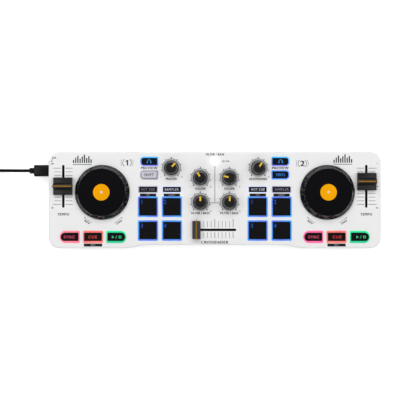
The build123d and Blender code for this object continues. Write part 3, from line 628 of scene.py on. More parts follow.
class DJLeadSettings(bpy.types.PropertyGroup):
    """Sizes of the USB lead."""

    diameter: distance("Diameter", "Outside diameter of the lead", 3.2, 1, 8)
    length: distance("Length", "Real length of the lead", 1000, 300, 3000)


class DJStageSettings(bpy.types.PropertyGroup):
    """Camera and light."""

    camera_height: distance("Camera height", "Height of the camera over the floor", 928.5, 200, 5000)
    camera_x: distance("Camera to the side", "Distance from the middle of the body", -15.2, -500, 500)
    lens: bpy.props.FloatProperty(
        name="Lens", description="Focal length in millimetres", default=78.8, min=10, max=300
    )
    key_power: bpy.props.FloatProperty(
        name="Side lights", description="Power of each large light beside the object", default=8.5, min=0,
        max=500, subtype="POWER", unit="POWER",
    )
    sky: bpy.props.FloatProperty(
        name="Fill", description="Strength of the even light from all round", default=0.21, min=0, max=5
    )
    floor_glow: bpy.props.FloatProperty(
        name="Floor", description="How far the floor is lifted to white", default=0.5, min=0, max=5
    )


# ---------------------------------------------------------------- operators
class DJ_OT_stage(bpy.types.Operator):
    """Sets the camera over the panel, the floor and the soft lights."""

    bl_idname = "dj.stage"
    bl_label = "Stage"

    sensor_width = 36.0
    near_clip = 0.01
    # Where each light stands, in metres, and its share of the power.
    lights = {
        "light_left": ((-1.05, 0.15, 1.55), 1.1),
        "light_right": ((1.05, 0.1, 1.6), 1.0),
        "light_rear": ((0.0, 1.1, 1.6), 1.6),
        "light_front": ((0.0, -1.15, 1.5), 0.6),
    }
    light_size = (1.2, 0.8)
    floor_size = 40.0

    def execute(self, context):
        scene = context.scene
        wanted = scene.dj_stage
        data = bpy.data.cameras.new("camera")
        data.lens = wanted.lens
        data.sensor_width = self.sensor_width
        data.clip_start = self.near_clip
        camera = bpy.data.objects.new("camera", data)
        camera.location = (wanted.camera_x, 0, wanted.camera_height)
        scene.collection.objects.link(camera)
        scene.camera = camera
        scene.view_settings.view_transform = "Standard"

        world = bpy.data.worlds.new("studio")
        scene.world = world
        world.use_nodes = True
        background = world.node_tree.nodes["Background"]
        background.inputs["Color"].default_value = paint("#FFFFFF")
        background.inputs["Strength"].default_value = wanted.sky

        for name, (place, share) in self.lights.items():
            lamp = bpy.data.lights.new(name, "AREA")
            lamp.shape = "RECTANGLE"
            lamp.size, lamp.size_y = self.light_size
            lamp.energy = wanted.key_power * share
            holder = bpy.data.objects.new(name, lamp)
            holder.location = place
            holder.rotation_euler = (-Vector(place)).to_track_quat("-Z", "Y").to_euler()
            scene.collection.objects.link(holder)

        # White paper: no shine, and lifted a little so that it stays white.
        floor, tree, shader = blank("matt_white_paper")
        tone = blend_colours(tree, noise(tree, PAPER_DRIFT), paint("#F4F4F4"), paint("#FAFAFA"))
        tree.links.new(tone, shader.inputs["Base Color"])
        shader.inputs["Roughness"].default_value = 0.9
        shader.inputs["Specular IOR Level"].default_value = 0.1
        shader.inputs["Emission Color"].default_value = paint("#FFFFFF")
        shader.inputs["Emission Strength"].default_value = wanted.floor_glow
        bm = bmesh.new()
        bmesh.ops.create_grid(bm, x_segments=1, y_segments=1, size=self.floor_size)
        mesh = bpy.data.meshes.new("floor")
        bm.to_mesh(mesh)
        bm.free()
        mesh.materials.append(floor)
        ground = bpy.data.objects.new("floor", mesh)
        scene.collection.objects.link(ground)
        return {"FINISHED"}


class DJ_OT_lead(bpy.types.Operator):
    """Makes the USB lead with its plugs, its put-away coil and the tie."""

    bl_idname = "dj.lead"
    bl_label = "USB lead"

    # Points from the socket to the coil, in millimetres.
    route = [
        (-193.7, 30.6, 13.0), (-203.5, 30.6, 13.0), (-214.0, 30.8, 8.6), (-225.5, 31.1, 3.2),
        (-237.5, 31.0, 1.6), (-248.5, 30.6, 1.6), (-258.0, 30.6, 1.6),
    ]
    coil_centre = (-258.0, 7.8)
    # Radius and height of each turn, from the first: inwards on the floor, then outwards on top.
    turns = [
        (22.8, 1.6), (19.6, 1.6), (16.4, 1.6), (13.2, 1.6),
        (13.2, 4.8), (16.4, 4.8), (19.6, 4.8), (22.8, 4.8),
    ]
    points_a_turn = 24
    shift_points = 6
    # Where the lead leaves the coil and where it enters the far plug.
    lead_off = (-280.8, 3.0, 4.8)
    lead_end = (-280.8, -6.7, 4.8)
    # Matrices that lay an upright plug along the lead: its axis to the right, or to the front.
    to_right = Matrix(((0, 0, 1, 0), (1, 0, 0, 0), (0, 1, 0, 0), (0, 0, 0, 1)))
    to_front = Matrix(((1, 0, 0, 0), (0, 0, -1, 0), (0, 1, 0, 0), (0, 0, 0, 1)))
    # Radius and place along the lead of the strain relief: a smooth collar, two grooves and a flange.
    collar = [
        (0, -193.7), (1.8, -193.7), (2.55, -193.4), (3.0, -192.7), (3.15, -191.8), (3.15, -190.9),
        (2.85, -190.7), (2.85, -190.2), (3.2, -190.0), (3.2, -189.3), (2.9, -189.1), (2.9, -188.6),
        (3.3, -188.2), (3.3, -187.9), (0, -187.9),
    ]

    def coil_points(self):
        """Points of the coil: each turn keeps its radius, then steps over to the next at its end."""
        count, last = self.points_a_turn, len(self.turns) - 1
        swell = 2 / (1 + cos(pi / count))
        points = []
        for step in range(1, len(self.turns) * count + self.shift_points + 1):
            here = self.turns[min(step // count, last)]
            after = self.turns[min(step // count + 1, last)]
            share = max(0.0, 1 - (count - step % count) / self.shift_points)
            share = share * share * (3 - 2 * share)
            radius, height = (a + (b - a) * share for a, b in zip(here, after))
            angle = pi / 2 + step * FULL / count
            x = self.coil_centre[0] + radius * swell * cos(angle)
            y = self.coil_centre[1] + radius * swell * sin(angle)
            points.append((x, y, height))
        return points

    def execute(self, context):
        scene = context.scene
        wanted = scene.dj_lead
        points = self.route + self.coil_points() + [self.lead_off, self.lead_end]
        curve = bpy.data.curves.new("usb_lead", "CURVE")
        curve.dimensions = "3D"
        curve.bevel_depth = wanted.diameter / 2
        curve.bevel_resolution = 4
        curve.resolution_u = 6
        curve.use_fill_caps = True
        line = curve.splines.new("NURBS")
        line.points.add(len(points) - 1)
        for place, point in zip(line.points, points):
            place.co = (*(c * MM for c in point), 1.0)
        line.order_u = 3
        line.use_endpoint_u = True
        curve.materials.append(FINISH["cord_pvc"])
        lead = bpy.data.objects.new("usb_lead", curve)
        scene.collection.objects.link(lead)
        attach(lead, "case")
        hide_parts("usb_cable", "cable_coil")

        going = [self.device_plug(), self.tie()] + self.host_plug()
        return {"FINISHED"}

    def device_plug(self):
        """Moulded plug in the side of the case, with a stepped strain relief."""
        bm = bmesh.new()
        y, z = self.route[0][1:]
        plate(bm, 0, 0, 12.1, 8.0, 2.6, 2.6, -188.3, -172.8)
        round_edges(bm, level_edges(bm), 0.8, 3)
        lathe(bm, self.collar, 0, 0, 32)
        # The drive end that goes into the socket.
        plate(bm, 0, 0, 6.6, 1.6, 0.7, 0.7, -172.9, -168.2)
        bmesh.ops.transform(bm, matrix=Matrix.Translation((0, y, z)) @ self.to_right, verts=bm.verts)
        return finish_piece("usb_plug_moulding", bm, "plug_black", "case", "usb_plug")

    def host_plug(self):
        """Grip, relief and pressed metal shell of the plug on the far end."""
        grip = bmesh.new()
        plate(grip, 0, 0, 16.0, 9.6, 2.0, 2.0, 8.0, 28.0)
        round_edges(grip, level_edges(grip), 1.2, 3)
        lathe(grip, [(0, 0), (2.2, 0), (2.5, 0.3), (3.1, 4.0), (3.9, 8.2), (0, 8.2)], 0, 0, 32)
        for side in (-1, 1):
            for rib in range(5):
                bar(grip, side * 7.9, 0, 0.5, 5.2, 13.0 + rib * 2.0, 14.0 + rib * 2.0)
        shell = bmesh.new()
        frame_ring(shell, 0, 0, (12.0, 4.5, 0.6, 0.6), (11.4, 3.9, 0.3, 0.3), 27.5, 40.0, 0.1)
        for side in (-1, 1):
            for window in (-2.9, 2.9):
                bar(shell, window, side * 2.22, 2.2, 0.12, 33.0, 35.4)
        tongue = bmesh.new()
        bar(tongue, 0, -0.85, 11.2, 1.7, 27.8, 39.2)
        pieces = []
        for name, bm, finish in (
            ("host_plug_grip", grip, "plug_black"), ("host_plug_shell", shell, "steel"),
            ("host_plug_tongue", tongue, "component_black"),
        ):
            place = Matrix.Translation(self.lead_end) @ self.to_front
            bmesh.ops.transform(bm, matrix=place, verts=bm.verts)
            pieces.append(finish_piece(name, bm, finish, "case", "usb_a_plug", merge=False))
        return pieces

    def tie(self):
        """Hook-and-loop strap round the coil."""
        bm = bmesh.new()
        x, y = self.coil_centre
        frame_ring(bm, 0, 0, (14.6, 7.4, 2.6, 2.6), (13.4, 6.2, 2.2, 2.2), -4.5, 4.5, 0.15)
        place = Matrix.Translation((x + 18.0, y - 1.0, 3.45)) @ Matrix.Rotation(pi / 2, 4, "X")
        bmesh.ops.transform(bm, matrix=place, verts=bm.verts)
        return finish_piece("coil_tie", bm, "tie", "case", merge=False)


class DJ_OT_case(bpy.types.Operator):
    """Finishes the shells, feet, screws and battery door."""

    bl_idname = "dj.case"
    bl_label = "Case"

    def execute(self, context):
        dress(["top_shell", "power_slider"], "white_case")
        dress(["bottom_shell", "battery_door"], "black_case")
        dress(["rubber_feet"], "foot_rubber")
        dress(["case_screws"], "screw_steel")
        return {"FINISHED"}


class DJ_OT_inside(bpy.types.Operator):
    """Finishes the circuit board, what is soldered on it, and the battery bay."""

    bl_idname = "dj.inside"
    bl_label = "Inside"

    def execute(self, context):
        dress(["main_board"], "circuit_board")
        dress(["board_chips", "tact_switches", "rotary_pots", "slide_pots"], "component_black")
        dress([name for name in NODES if name.startswith("jog_encoder")], "component_black")
        dress(["usb_socket", "battery_contacts"], "steel")
        dress([name for name in NODES if name.endswith("_lever") or "_lever_" in name], "steel")
        dress(["batteries"], "cell_wrap")
        return {"FINISHED"}


class DJ_OT_frames(bpy.types.Operator):
    """Makes the lit frames round the keys."""

    bl_idname = "dj.frames"
    bl_label = "Light frames"

    # The skirt under the panel reaches this far past each frame, in millimetres.
    skirt_reach = 0.8
    smallest_corner = 0.5

    def execute(self, context):
        edge = context.scene.dj_glow.edge / MM
        groups = {}
        for name, (family, left, right, guide) in KEYS.items():
            groups.setdefault(guide, []).append((name, FAMILIES[family], left, right))
        for guide, keys in groups.items():
            bm = bmesh.new()
            for name, (wall_x, wall_y), left, right in keys:
                x, y, _ = middle(name)
                width, depth = (size + 2 * KEY_GAP for size in cap_size(name))
                corners = [max(corner - wall_y, self.smallest_corner) for corner in (left, right)]
                outer = (width + 2 * wall_x, depth + 2 * wall_y, left, right)
                skirt = (
                    outer[0] + 2 * self.skirt_reach, outer[1] + 2 * self.skirt_reach,
                    left + self.skirt_reach, right + self.skirt_reach,
                )
                frame_ring(bm, x, y, outer, (width, depth, *corners), FRAME_LOW, FRAME_HIGH, edge)
                frame_ring(bm, x, y, skirt, outer, FRAME_LOW, PANEL_UNDER, 0.05)
            finish_piece(
                "light_frames_" + guide, bm, "guide_" + guide, "case", "light_frames",
                merge=False,
            )
        x, y, _ = middle("centre_button")
        bm = bmesh.new()
        band(bm, x, y, 4.25, 5.0, FRAME_LOW, FRAME_HIGH, 64)
        finish_piece("light_frame_centre", bm, "white_lens", "case", "light_frames")
        return {"FINISHED"}


class DJ_OT_keys(bpy.types.Operator):
    """Finishes the key caps and adds the lit symbol on each."""

    bl_idname = "dj.keys"
    bl_label = "Keys and symbols"

    # Word, ink, and its width and height in millimetres.
    words = {
        "mode_button_left_outer": ("HOT CUE", "lit_grey", 13.6, 2.3),
        "mode_button_left_inner": ("SAMPLER", "lit_white", 14.2, 2.3),
        "mode_button_right_inner": ("HOT CUE", "lit_white", 13.6, 2.3),
        "mode_button_right_outer": ("SAMPLER", "lit_grey", 14.2, 2.3),
        "sync_button_left": ("SYNC", "lit_sync", 11.0, 2.9),
        "sync_button_right": ("SYNC", "lit_sync", 11.0, 2.9),
        "cue_button_left": ("CUE", "lit_cue", 8.8, 2.9),
        "cue_button_right": ("CUE", "lit_cue", 8.8, 2.9),
        "shift_button": ("SHIFT", "ink_lilac", 9.4, 2.9),
        "vinyl_button": ("VINYL", "lit_cyan", 9.6, 2.9),
    }

    def execute(self, context):
        dress([name for name in KEYS if name != "shift_button"], "key_black")
        dress(["shift_button"], "key_grey")
        dress(["centre_button"], "white_lens")
        for side in SIDES:
            for number in range(1, 5):
                self.digit(f"pad_{side}_{number}", number)
        for key, (words, ink, width, tall) in self.words.items():
            x, y, top = middle(key)
            bm = bmesh.new()
            bold = 0.03 if ink == "ink_lilac" else 0.01
            lettering(bm, words, x, y, top, width, tall, bold=bold, spread=1.3)
            finish_piece(f"word_{key}", bm, ink, key, merge=False)
        for side in SIDES:
            self.play_mark(f"play_button_{side}")
            self.headphones(f"headphone_button_{side}")
        return {"FINISHED"}

    def digit(self, key, number):
        """Number in the rear left corner of a pad."""
        x, y, top = middle(key)
        bm = bmesh.new()
        along = x - (6.1 if number % 2 else 7.0)
        lettering(bm, str(number), along, y + 5.1, top, height=4.1)
        finish_piece(f"digit_{key}", bm, "lit_digit", key, merge=False)

    def play_mark(self, key):
        """Play arrow, stroke and pause bars."""
        x, y, top = middle(key)
        low, high = top - INLAY, top + INLAY
        bm = bmesh.new()
        arrow(bm, x - 3.4, y, 1.75, low, high, -pi / 2)
        bar(bm, x + 0.25, y, 0.5, 3.2, low, high, -0.4)
        for shift in (3.3, 4.9):
            bar(bm, x + shift, y, 0.95, 2.9, low, high)
        finish_piece(f"symbol_{key}", bm, "lit_play", key, merge=False)

    def headphones(self, key):
        """Headband with an ear pad on each end."""
        x, y, top = middle(key)
        low, high = top - INLAY, top + INLAY
        bm = bmesh.new()
        band(bm, x, y - 0.1, 1.45, 1.95, low, high, 18, 0.0, pi)
        for hand in (-1, 1):
            bar(bm, x + hand * 1.7, y - 0.6, 0.5, 1.2, low, high)
            plate(bm, x + hand * 1.75, y - 1.1, 1.1, 1.7, 0.4, 0.4, low, high, 0, 3)
        finish_piece(f"symbol_{key}", bm, "lit_cyan", key, merge=False)


class DJ_OT_jogs(bpy.types.Operator):
    """Makes the two jog wheels: bladed rim, matt top, round label and centre dot."""

    bl_idname = "dj.jogs"
    bl_label = "Jog wheels"

    # Rim from its foot to its crest: distance in from the outer radius and height over the foot.
    flank = [(0.6, 0.0), (0.05, 0.3), (0.0, 1.2), (0.35, 1.9), (1.3, 4.0), (2.4, 6.0)]
    # The same up to the top, with the height down from it.
    crest = [(3.4, 1.1), (4.0, 0.35), (4.45, 0.0)]
    # Radius and height down from the top of the rim's inner lip.
    lip = [(23.65, 0.0), (23.5, 0.3), (23.5, 1.2), (23.3, 1.3)]
    bore = 23.3
    # The blades move only points outside this radius and between these shares of the height.
    lip_edge = 23.9
    cut = (0.12, 0.96)
    steps_a_blade = 16
    disc_radius = 23.35
    # Distance in from the disc's edge and height down from its top: a bevel, then a fine groove.
    disc_edge = [(0.0, 0.3), (0.1, 0.1), (0.3, 0.0), (1.2, 0.0), (1.35, 0.06), (1.5, 0.0)]
    dot_radius = 1.25
    # Radius and height of the dot over the disc.
    dot = [(0.0, -0.1), (1.25, -0.1), (1.25, 0.05), (1.0, 0.16), (0.5, 0.22), (0.0, 0.23)]

    def execute(self, context):
        wanted = context.scene.dj_controls
        for side in SIDES:
            body = f"jog_{side}"
            x, y, top = middle(f"jog_wheel_{side}")
            rim = self.rim(side, x, y, top, wanted)
            finish_piece(f"jog_rim_{side}", rim, "black_gloss", body, f"jog_wheel_{side}", 22)

            low, high = extent(f"jog_disc_{side}")
            radius, top = self.disc_radius, high.z
            disc = bmesh.new()
            face = [(radius - inward, top - down) for inward, down in self.disc_edge]
            lathe(disc, [(0, low.z), (radius, low.z), *face, (0, top)], x, y, 96)
            # Matt film over the disc: soft black with faint rings like a record's.
            FINISH["disc_" + side] = grooved(
                "matt_black_film_" + side, wanted.key_black, 0.6, 0.9, (x, y, 0), 0.03, 0.04
            )
            finish_piece(f"jog_top_{side}", disc, "disc_" + side, body, f"jog_disc_{side}")

            label = bmesh.new()
            band(label, x, y, self.dot_radius, wanted.label_radius / MM, top - 0.05, top + 0.05, 96)
            finish_piece(f"jog_label_{side}", label, "label", body)
            dot = bmesh.new()
            lathe(dot, [(r, top + up) for r, up in self.dot], x, y, 32)
            finish_piece(f"jog_dot_{side}", dot, "label_dot", body)
        return {"FINISHED"}

    def rim(self, side, x, y, top, wanted):
        """Turned ring whose flank steps in as slanting blades, mirrored from one wheel to the other."""
        low, high = extent(f"jog_wheel_{side}")
        outer = (high.x - low.x) / 2
        profile = [(self.bore, WHEEL_BASE)]
        profile += [(outer - inward, WHEEL_BASE + up) for inward, up in self.flank]
        profile += [(outer - inward, top - down) for inward, down in self.crest]
        profile += [(radius, top - down) for radius, down in self.lip]
        rim = bmesh.new()
        closed_ring(rim, profile, x, y, wanted.blades * self.steps_a_blade)
        mirrored = 1 if side == "left" else -1
        for vert in rim.verts:
            off = vert.co - Vector((x, y, vert.co.z))
            lift = (vert.co.z - WHEEL_BASE) / (top - WHEEL_BASE)
            if off.length > self.lip_edge and self.cut[0] < lift < self.cut[1]:
                phase = (share_of_turn(off) * wanted.blades * mirrored + lift * 1.5) % 1.0
                hold = sin(pi * min(1.0, max(0.0, (lift - 0.08) / 0.92))) ** 0.6
                off.normalize()
                vert.co -= Vector((off.x, off.y, 0)) * (wanted.blade_depth / MM * phase ** 1.4 * hold)
        return rim


def share_of_turn(off):
    """Direction in plan as a share of a full turn, from 0 to 1."""
    angle = Vector((1, 0)).angle_signed(Vector((off.x, off.y)), 0.0)
    return (-angle) % FULL / FULL


class DJ_OT_knobs(bpy.types.Operator):
    """Makes the six rotary knobs with their pointers."""

    bl_idname = "dj.knobs"
    bl_label = "Knobs"

    # Angle of each pointer from the rear, counter-clockwise, in degrees.
    rest = {
        "knob_master": -45.0, "knob_headphones": -31.0, "knob_volume_left": 30.0,
        "knob_volume_right": 76.0, "knob_filter_left": 0.0, "knob_filter_right": 0.0,
    }
    # Radius and height down from the top, in millimetres.
    dish = 0.25
    flank = [
        (4.55, 0.35), (4.9, 0.1), (5.1, 0.0), (5.3, 0.06), (5.7, 0.5), (6.15, 1.15), (6.35, 1.7), (6.6, 6.0),
        (6.8, 10.6), (6.95, 10.95), (7.3, 11.1), (7.6, 11.25), (7.75, 11.6), (7.75, 12.9),
    ]
    foot_radius = 6.6
    pointer_width = 1.7
    pointer_reach = (1.25, 6.56)
    pointer_steps = 14

    def execute(self, context):
        for name, turn in self.rest.items():
            x, y, top = middle(name)
            bm = bmesh.new()
            foot = [(self.foot_radius, WHEEL_BASE), (0, WHEEL_BASE)]
            lathe(bm, [(0, top - self.dish)] + [(r, top - d) for r, d in self.flank] + foot, x, y, 72)
            finish_piece(f"{name}_cap", bm, "knob_black", name, name, 30)

            mark = bmesh.new()
            bmesh.ops.create_grid(mark, x_segments=2, y_segments=self.pointer_steps, size=0.5)
            start, end = self.pointer_reach
            for vert in mark.verts:
                along = start + (vert.co.y + 0.5) * (end - start)
                vert.co = (vert.co.x * self.pointer_width, along, self.height(along) + top + INLAY)
            bmesh.ops.solidify(mark, geom=mark.verts[:] + mark.edges[:] + mark.faces[:], thickness=2 * INLAY)
            place = Matrix.Translation((x, y, 0)) @ Matrix.Rotation(radians(turn), 4, "Z")
            bmesh.ops.transform(mark, matrix=place, verts=mark.verts)
            finish_piece(f"{name}_pointer", mark, "pointer", name, merge=False)
        return {"FINISHED"}

    def height(self, radius):
        """Height of the knob's surface below its top at a radius, as a negative number."""
        points = [(0.0, self.dish)] + self.flank
        for (r0, d0), (r1, d1) in zip(points, points[1:]):
            if radius <= r1:
                return -(d0 + (d1 - d0) * (radius - r0) / (r1 - r0))
        return -points[-1][1]


class DJ_OT_faders(bpy.types.Operator):
    """Makes the fader caps, each with the line on its ridge."""

    bl_idname = "dj.faders"
    bl_label = "Faders"

    # Half section across the line: distance from it and height over the cap's base.
    tempo = [
        (9.0, 0.0), (9.0, 3.0), (8.7, 4.2), (8.0, 4.9), (6.6, 4.9), (5.0, 4.6), (3.6, 4.8), (2.7, 5.6),
        (2.3, 6.6), (1.9, 8.3),
    ]
    cross = [(4.25, 0.0), (4.25, 3.3), (3.9, 4.3), (3.4, 5.0), (1.9, 5.6), (1.5, 5.9), (1.1, 8.3)]
    # Cap, its body, section, whether its line runs along the body, the line's width, and the finish.
    caps = [
        ("tempo_cap_left", "tempo_fader_left", tempo, True, 1.3, "fader_black"),
        ("tempo_cap_right", "tempo_fader_right", tempo, True, 1.3, "fader_black"),
        ("crossfader_cap", "crossfader", cross, False, 1.15, "fader_grey"),
    ]
    rounding = 0.45

    def execute(self, context):
        for cap in self.caps:
            self.make(*cap)
        return {"FINISHED"}

    def make(self, name, body, section, along_x, line, finish):
        """Cap pulled from its section, its ends and ridge rounded, with the line set in the ridge."""
        low, high = extent(name)
        x, y, _ = middle(name)
        width = high.x - low.x if along_x else high.y - low.y
        top = section[-1][1]
        bm = bmesh.new()
        loop = section + [(-d, h) for d, h in reversed(section)]
        pull(bm, [bm.faces.new([bm.verts.new((-width / 2, d, h)) for d, h in loop])], (width, 0, 0))
        bm.normal_update()
        across = {e: abs(e.verts[0].co.x - e.verts[1].co.x) for e in bm.edges}
        ends = [e for e in bm.edges if across[e] < LEVEL / 10 and max(v.co.z for v in e.verts) > 0.1]
        ridge = [e for e in bm.edges if across[e] > 1 and e.verts[0].co.z > top - 0.01]
        round_edges(bm, ends + ridge, self.rounding, 2)
        mark = bmesh.new()
        plate(mark, 0, 0, width - 0.5, line, 0.2, 0.2, top - 0.1, top + 0.05, 0.0, 2)
        turn = Matrix.Identity(4) if along_x else Matrix.Rotation(pi / 2, 4, "Z")
        base = low.z if low.z > FRAME_HIGH else FADER_BASE
        for part in (bm, mark):
            bmesh.ops.transform(part, matrix=Matrix.Translation((x, y, base)) @ turn, verts=part.verts)
        finish_piece(f"{name}_moulding", bm, finish, body, name, 28)
        finish_piece(f"{name}_line", mark, "gold", body, merge=False)


class DJ_OT_slots(bpy.types.Operator):
    """Lines the three fader slots in black and closes them with split black strips: painted shade in each
    slot's depth.
    """

    bl_idname = "dj.slots"
    bl_label = "Fader slots"

    # Width, depth and end radii of the liner, outside and inside.
    liner_outside = (43.96, 2.46, 1.2, 1.2)
    liner_inside = (43.7, 2.2, 1.07, 1.07)

    def execute(self, context):
        liner, strips = bmesh.new(), bmesh.new()
        for x, y, turn in (
            (middle("tempo_lever_left")[0], TEMPO_Y, pi / 2),
            (middle("tempo_lever_right")[0], TEMPO_Y, pi / 2),
            (0.0, CROSSFADER_Y, 0.0),
        ):
            place = Matrix.Translation((x, y, 0)) @ Matrix.Rotation(turn, 4, "Z")
            edge, felt = bmesh.new(), bmesh.new()
            # Painted shade: a black liner on the slot's walls and two black strips under it darken the slot
            # where its depth is in shade.
            frame_ring(edge, 0, 0, self.liner_outside, self.liner_inside, PANEL_UNDER, PANEL + 0.04, 0.02)
            for hand in (-1, 1):
                bar(felt, 0, hand * 1.9, 46.0, 2.5, PANEL_UNDER - 0.4, PANEL_UNDER - 0.05)
            for own, whole in ((edge, liner), (felt, strips)):
                bmesh.ops.transform(own, matrix=place, verts=own.verts)
                pour(own, whole)
        finish_piece("slot_shade_liners", liner, "ink_black", "case", merge=False)
        finish_piece("slot_shade_strips", strips, "felt", "case", merge=False)
        return {"FINISHED"}


class DJ_OT_print(bpy.types.Operator):
    """Prints the scales, words, numbers and marks on the panel, and paints a light grey ring of shade round
    each knob.
    """

    bl_idname = "dj.print"
    bl_label = "Panel print"

    # Word, middle in plan, width, height and boldness.
    words = [
        ("ON", -165.4, 43.4, 3.8, 1.8, 0.04), ("OFF", -166.8, 37.1, 2.9, 1.4, 0.04),
        ("MASTER", -44.6, 21.8, 11.1, 2.3, 0.045), ("HEADPHONES", 44.6, 21.6, 18.4, 2.3, 0.045),
        ("VOLUME", -14.85, 11.7, 10.8, 2.3, 0.045), ("VOLUME", 14.85, 11.7, 10.8, 2.3, 0.045),
        ("FILTER / BASS", -14.9, -13.5, 18.6, 2.3, 0.045), ("FILTER / BASS", 14.9, -13.5, 18.6, 2.3, 0.045),
        ("FILTER / BASS", 0.3, 46.9, 18.6, 2.3, 0.045), ("LINK", 12.6, 39.9, 5.4, 1.4, 0.02),
        ("CROSSFADER", 0.0, -43.4, 27.8, 2.8, 0.04), ("2", 90.0, 37.6, 3.9, 5.4, 0.04),
        ("PREVIEW", -67.4, 32.9, 16.8, 2.5, 0.042), ("PREVIEW", 67.4, 32.9, 16.8, 2.5, 0.042),
    ]
    tempo_pitch = 3.72
    cross_pitch = 3.77
    # Heights of the level bars in each rear corner, and where the two rows start.
    level_bars = (3.2, 5.4, 7.4, 4.6, 6.6, 8.6, 5.2, 7.0, 3.8)
    level_pitch = 2.25
    level_starts = ((-145.2, 38.0), (122.6, 38.3))
    # Word, middle from side to side and width of the black name bars behind the pads.
    pad_bars = (("FX", -68.6), ("LOOP", -44.2), ("FX", 44.2), ("LOOP", 68.6))
    pad_bar_width, pad_bar_rear = 16.8, 6.6
    # Middle, width and depth of the bars in front of the cue keys.
    set_bar_x, set_bar_y, set_bar_size = 125.15, -46.3, (18.8, 3.0)

    def execute(self, context):
        lift = context.scene.dj_print.lift / MM
        low, high = PANEL - 0.04, PANEL + lift
        inks = {name: bmesh.new() for name in ("dark", "grey", "white", "pale")}
        self.tempo_scales(inks, lift, low, high)
        self.knob_scales(inks, low, high)
        self.middle_marks(inks, low, high)
        self.deck_marks(inks, lift, low, high)
        self.name_bars(inks, lift, low, high)
        for text, x, y, width, tall, bold in self.words:
            lettering(inks["dark"], text, x, y, PANEL, width, tall, 0.0, lift, bold)
        for name, bm in inks.items():
            finish_piece("print_" + name, bm, "ink_" + {"dark": "black"}.get(name, name), "case", merge=False)
        return {"FINISHED"}

    def tempo_scales(self, inks, lift, low, high):
        """Eleven lines on each side of the slots, the ends and the middle longer, and the switch marks."""
        dark, grey = inks["dark"], inks["grey"]
        for side, name in zip((-1, 1), SIDES):
            slot_x = middle(f"tempo_lever_{name}")[0]
            for step in range(-5, 6):
                major = step in (-5, 0, 5)
                for hand in (-1, 1):
                    near, far = 2.3, (10.8 if major else 9.3) if hand == side else 9.5
                    bar(
                        grey, slot_x + hand * (near + far) / 2, TEMPO_Y + step * self.tempo_pitch,
                        far - near, 0.48 if major else 0.42, low, high,
                    )
            lettering(dark, "TEMPO", slot_x, -14.7, PANEL, 11.7, 2.6, 0.0, lift, 0.042)
            edge = side * 166.9
            bar(dark, edge, TEMPO_Y + 23.7, 1.6, 0.4, low, high)
            bar(dark, edge, TEMPO_Y - 22.2, 1.9, 0.6, low, high)
            bar(dark, edge, TEMPO_Y - 22.2, 0.6, 1.9, low, high)
            band(dark, edge + side * 0.4, TEMPO_Y, 0.05, 0.55, low, high, 16)
        # Slanting line and dot beside the power switch.
        bar(dark, -166.9, 41.3, 2.6, 0.35, low, high, radians(60))
        band(dark, -167.8, 39.6, 0.05, 0.6, low, high, 16)

    def knob_scales(self, inks, low, high):
        """Round scale of each knob: a light grey ring of painted shade round the knob, an arc, nine ticks, a
        minus and a plus.
        """
        dark, grey = inks["dark"], inks["grey"]
        for name in DJ_OT_knobs.rest:
            x, y, _ = middle(name)
            band(grey, x, y, 9.35, 9.68, low, high, 72, radians(-48), radians(276))
            # Painted shade: a light grey ring round the knob, where its shade falls on the panel.
            band(inks["pale"], x, y, 7.9, 9.35, low, high - 0.01, 72)
            for step in range(9):
                turn = radians(-138 + step * 34.5)
                mid, thick, long = (10.3, 0.8, 1.9) if step % 4 == 0 else (10.2, 0.6, 1.6)
                bar(dark, x - sin(turn) * mid, y + cos(turn) * mid, thick, long, low, high, turn)
            bar(grey, x - 10.8, y - 9.3, 1.3, 0.3, low, high)
            bar(dark, x + 10.8, y - 9.3, 1.4, 0.4, low, high)
            bar(dark, x + 10.8, y - 9.3, 0.4, 1.4, low, high)

    def middle_marks(self, inks, low, high):
        """Line from the centre key to the filter knobs, plain wireless arcs and the crossfader scale."""
        bar(inks["pale"], 0.0, 16.3, 1.25, 37.4, low, high)
        bar(inks["pale"], 0.0, -2.9, 10.6, 1.1, low, high)
        for reach in (0.7, 1.3, 1.9):
            band(inks["dark"], 7.0, 39.9, reach, reach + 0.25, low, high, 10, radians(-42), radians(84))
        for step in range(-5, 6):
            major = abs(step) in (0, 5)
            for hand, far in ((-1, 8.5), (1, 11.0 if major else 9.0)):
                near = 2.5
                bar(
                    inks["grey"], step * self.cross_pitch, CROSSFADER_Y + hand * (near + far) / 2,
                    0.55 if major else 0.4, far - near, low, high,
                )

    def deck_marks(self, inks, lift, low, high):
        """Deck numbers between arcs, arrowed lines before each jog wheel, and level bars in the corners."""
        dark = inks["dark"]
        for x, y in ((-90.2, 38.3), (90.0, 37.6)):
            for hand in (-1, 1):
                for reach, half, wide, ink in ((4.2, 52, 0.5, "dark"), (6.0, 34, 0.35, "grey")):
                    start = radians((0 if hand > 0 else 180) - half)
                    band(inks[ink], x, y, reach, reach + wide, low, high, 14, start, radians(2 * half))
        # The number one, from an upright and a flag.
        bar(dark, -89.75, 38.3, 1.35, 5.6, low, high)
        bar(dark, -90.75, 40.05, 2.3, 0.95, low, high, radians(40))
        for side, jog_x in ((-1, -115.6), (1, 115.6)):
            for hand, text in ((-1, "REV"), (1, "FWD")):
                turn = radians(hand * 36)
                x, y = jog_x + hand * (14.4 if side < 0 and hand < 0 else 16.3), -20.9
                bar(dark, x, y, 9.8, 0.3, low, high, turn)
                tip_x, tip_y = x + hand * 4.6 * cos(turn), y + hand * 4.6 * sin(turn)
                arrow(dark, tip_x, tip_y, 0.85, low, high, turn + (0 if hand > 0 else pi))
                lettering(dark, text, x + hand * 1.1, y - 1.9, PANEL, 6.0, 1.9, turn, lift, 0.045)
        for left, base in self.level_starts:
            for step, tall in enumerate(self.level_bars):
                bar(dark, left + step * self.level_pitch, base + tall / 2, 1.25, tall, low, high)
            bar(dark, left + 4 * self.level_pitch, base - 1.5, 19.25, 0.6, low, high)

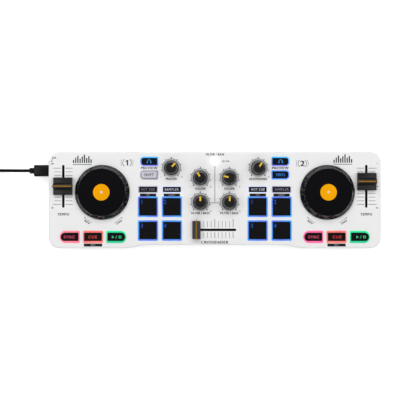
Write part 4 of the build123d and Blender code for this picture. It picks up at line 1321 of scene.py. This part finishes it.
    def name_bars(self, inks, lift, low, high):
        """Black name bars with white words, those behind the pads filling the gap to the mode keys."""
        pad_rear = middle("pad_left_1")[1] + cap_size("pad_left_1")[1] / 2 + KEY_GAP + FAMILIES["pad"][1]
        deep = self.pad_bar_rear - pad_rear - 0.2
        y = self.pad_bar_rear - deep / 2
        bars = [(text, x, y, self.pad_bar_width, deep) for text, x in self.pad_bars]
        bars += [("SET", side * self.set_bar_x, self.set_bar_y, *self.set_bar_size) for side in (-1, 1)]
        for text, x, y, width, depth in bars:
            bar(inks["dark"], x, y, width, depth, low, high)
            lettering(inks["white"], text, x, y, high, 1.5 * len(text), 1.4, 0.0, lift, 0.02)


class DJ_OT_finishes(bpy.types.Operator):
    """Makes the materials."""

    bl_idname = "dj.finishes"
    bl_label = "Materials"

    def execute(self, context):
        prepare_finishes(context.scene)
        return {"FINISHED"}


OPERATORS = (
    DJ_OT_finishes, DJ_OT_stage, DJ_OT_lead, DJ_OT_case, DJ_OT_inside, DJ_OT_frames, DJ_OT_keys,
    DJ_OT_jogs, DJ_OT_knobs, DJ_OT_faders, DJ_OT_slots, DJ_OT_print,
)
SETTINGS = {
    "dj_case": DJCaseSettings, "dj_glow": DJGlowSettings, "dj_controls": DJControlSettings,
    "dj_print": DJPrintSettings, "dj_lead": DJLeadSettings, "dj_stage": DJStageSettings,
}


class DJ_PT_panel(bpy.types.Panel):
    """Lists the steps in the order they are run."""

    bl_label = "DJ controller"
    bl_idname = "DJ_PT_panel"
    bl_space_type = "VIEW_3D"
    bl_region_type = "UI"
    bl_category = "DJ controller"

    def draw(self, context):
        for operator in OPERATORS:
            self.layout.operator(operator.bl_idname)
        for name, group in SETTINGS.items():
            box = self.layout.box()
            box.label(text=group.__doc__)
            for key in group.__annotations__:
                box.prop(getattr(context.scene, name), key)


def register():
    """Registers the settings, operators and panel."""
    for group in (*SETTINGS.values(), *OPERATORS, DJ_PT_panel):
        bpy.utils.register_class(group)
    for name, group in SETTINGS.items():
        setattr(bpy.types.Scene, name, bpy.props.PointerProperty(type=group))


def unregister():
    """Removes them again."""
    for name in SETTINGS:
        delattr(bpy.types.Scene, name)
    for group in reversed((*SETTINGS.values(), *OPERATORS, DJ_PT_panel)):
        bpy.utils.unregister_class(group)


def main():
    """Runs every step in order."""
    register()
    for operator in OPERATORS:
        group, name = operator.bl_idname.split(".")
        getattr(getattr(bpy.ops, group), name)()


if __name__ == "__main__":
    main()
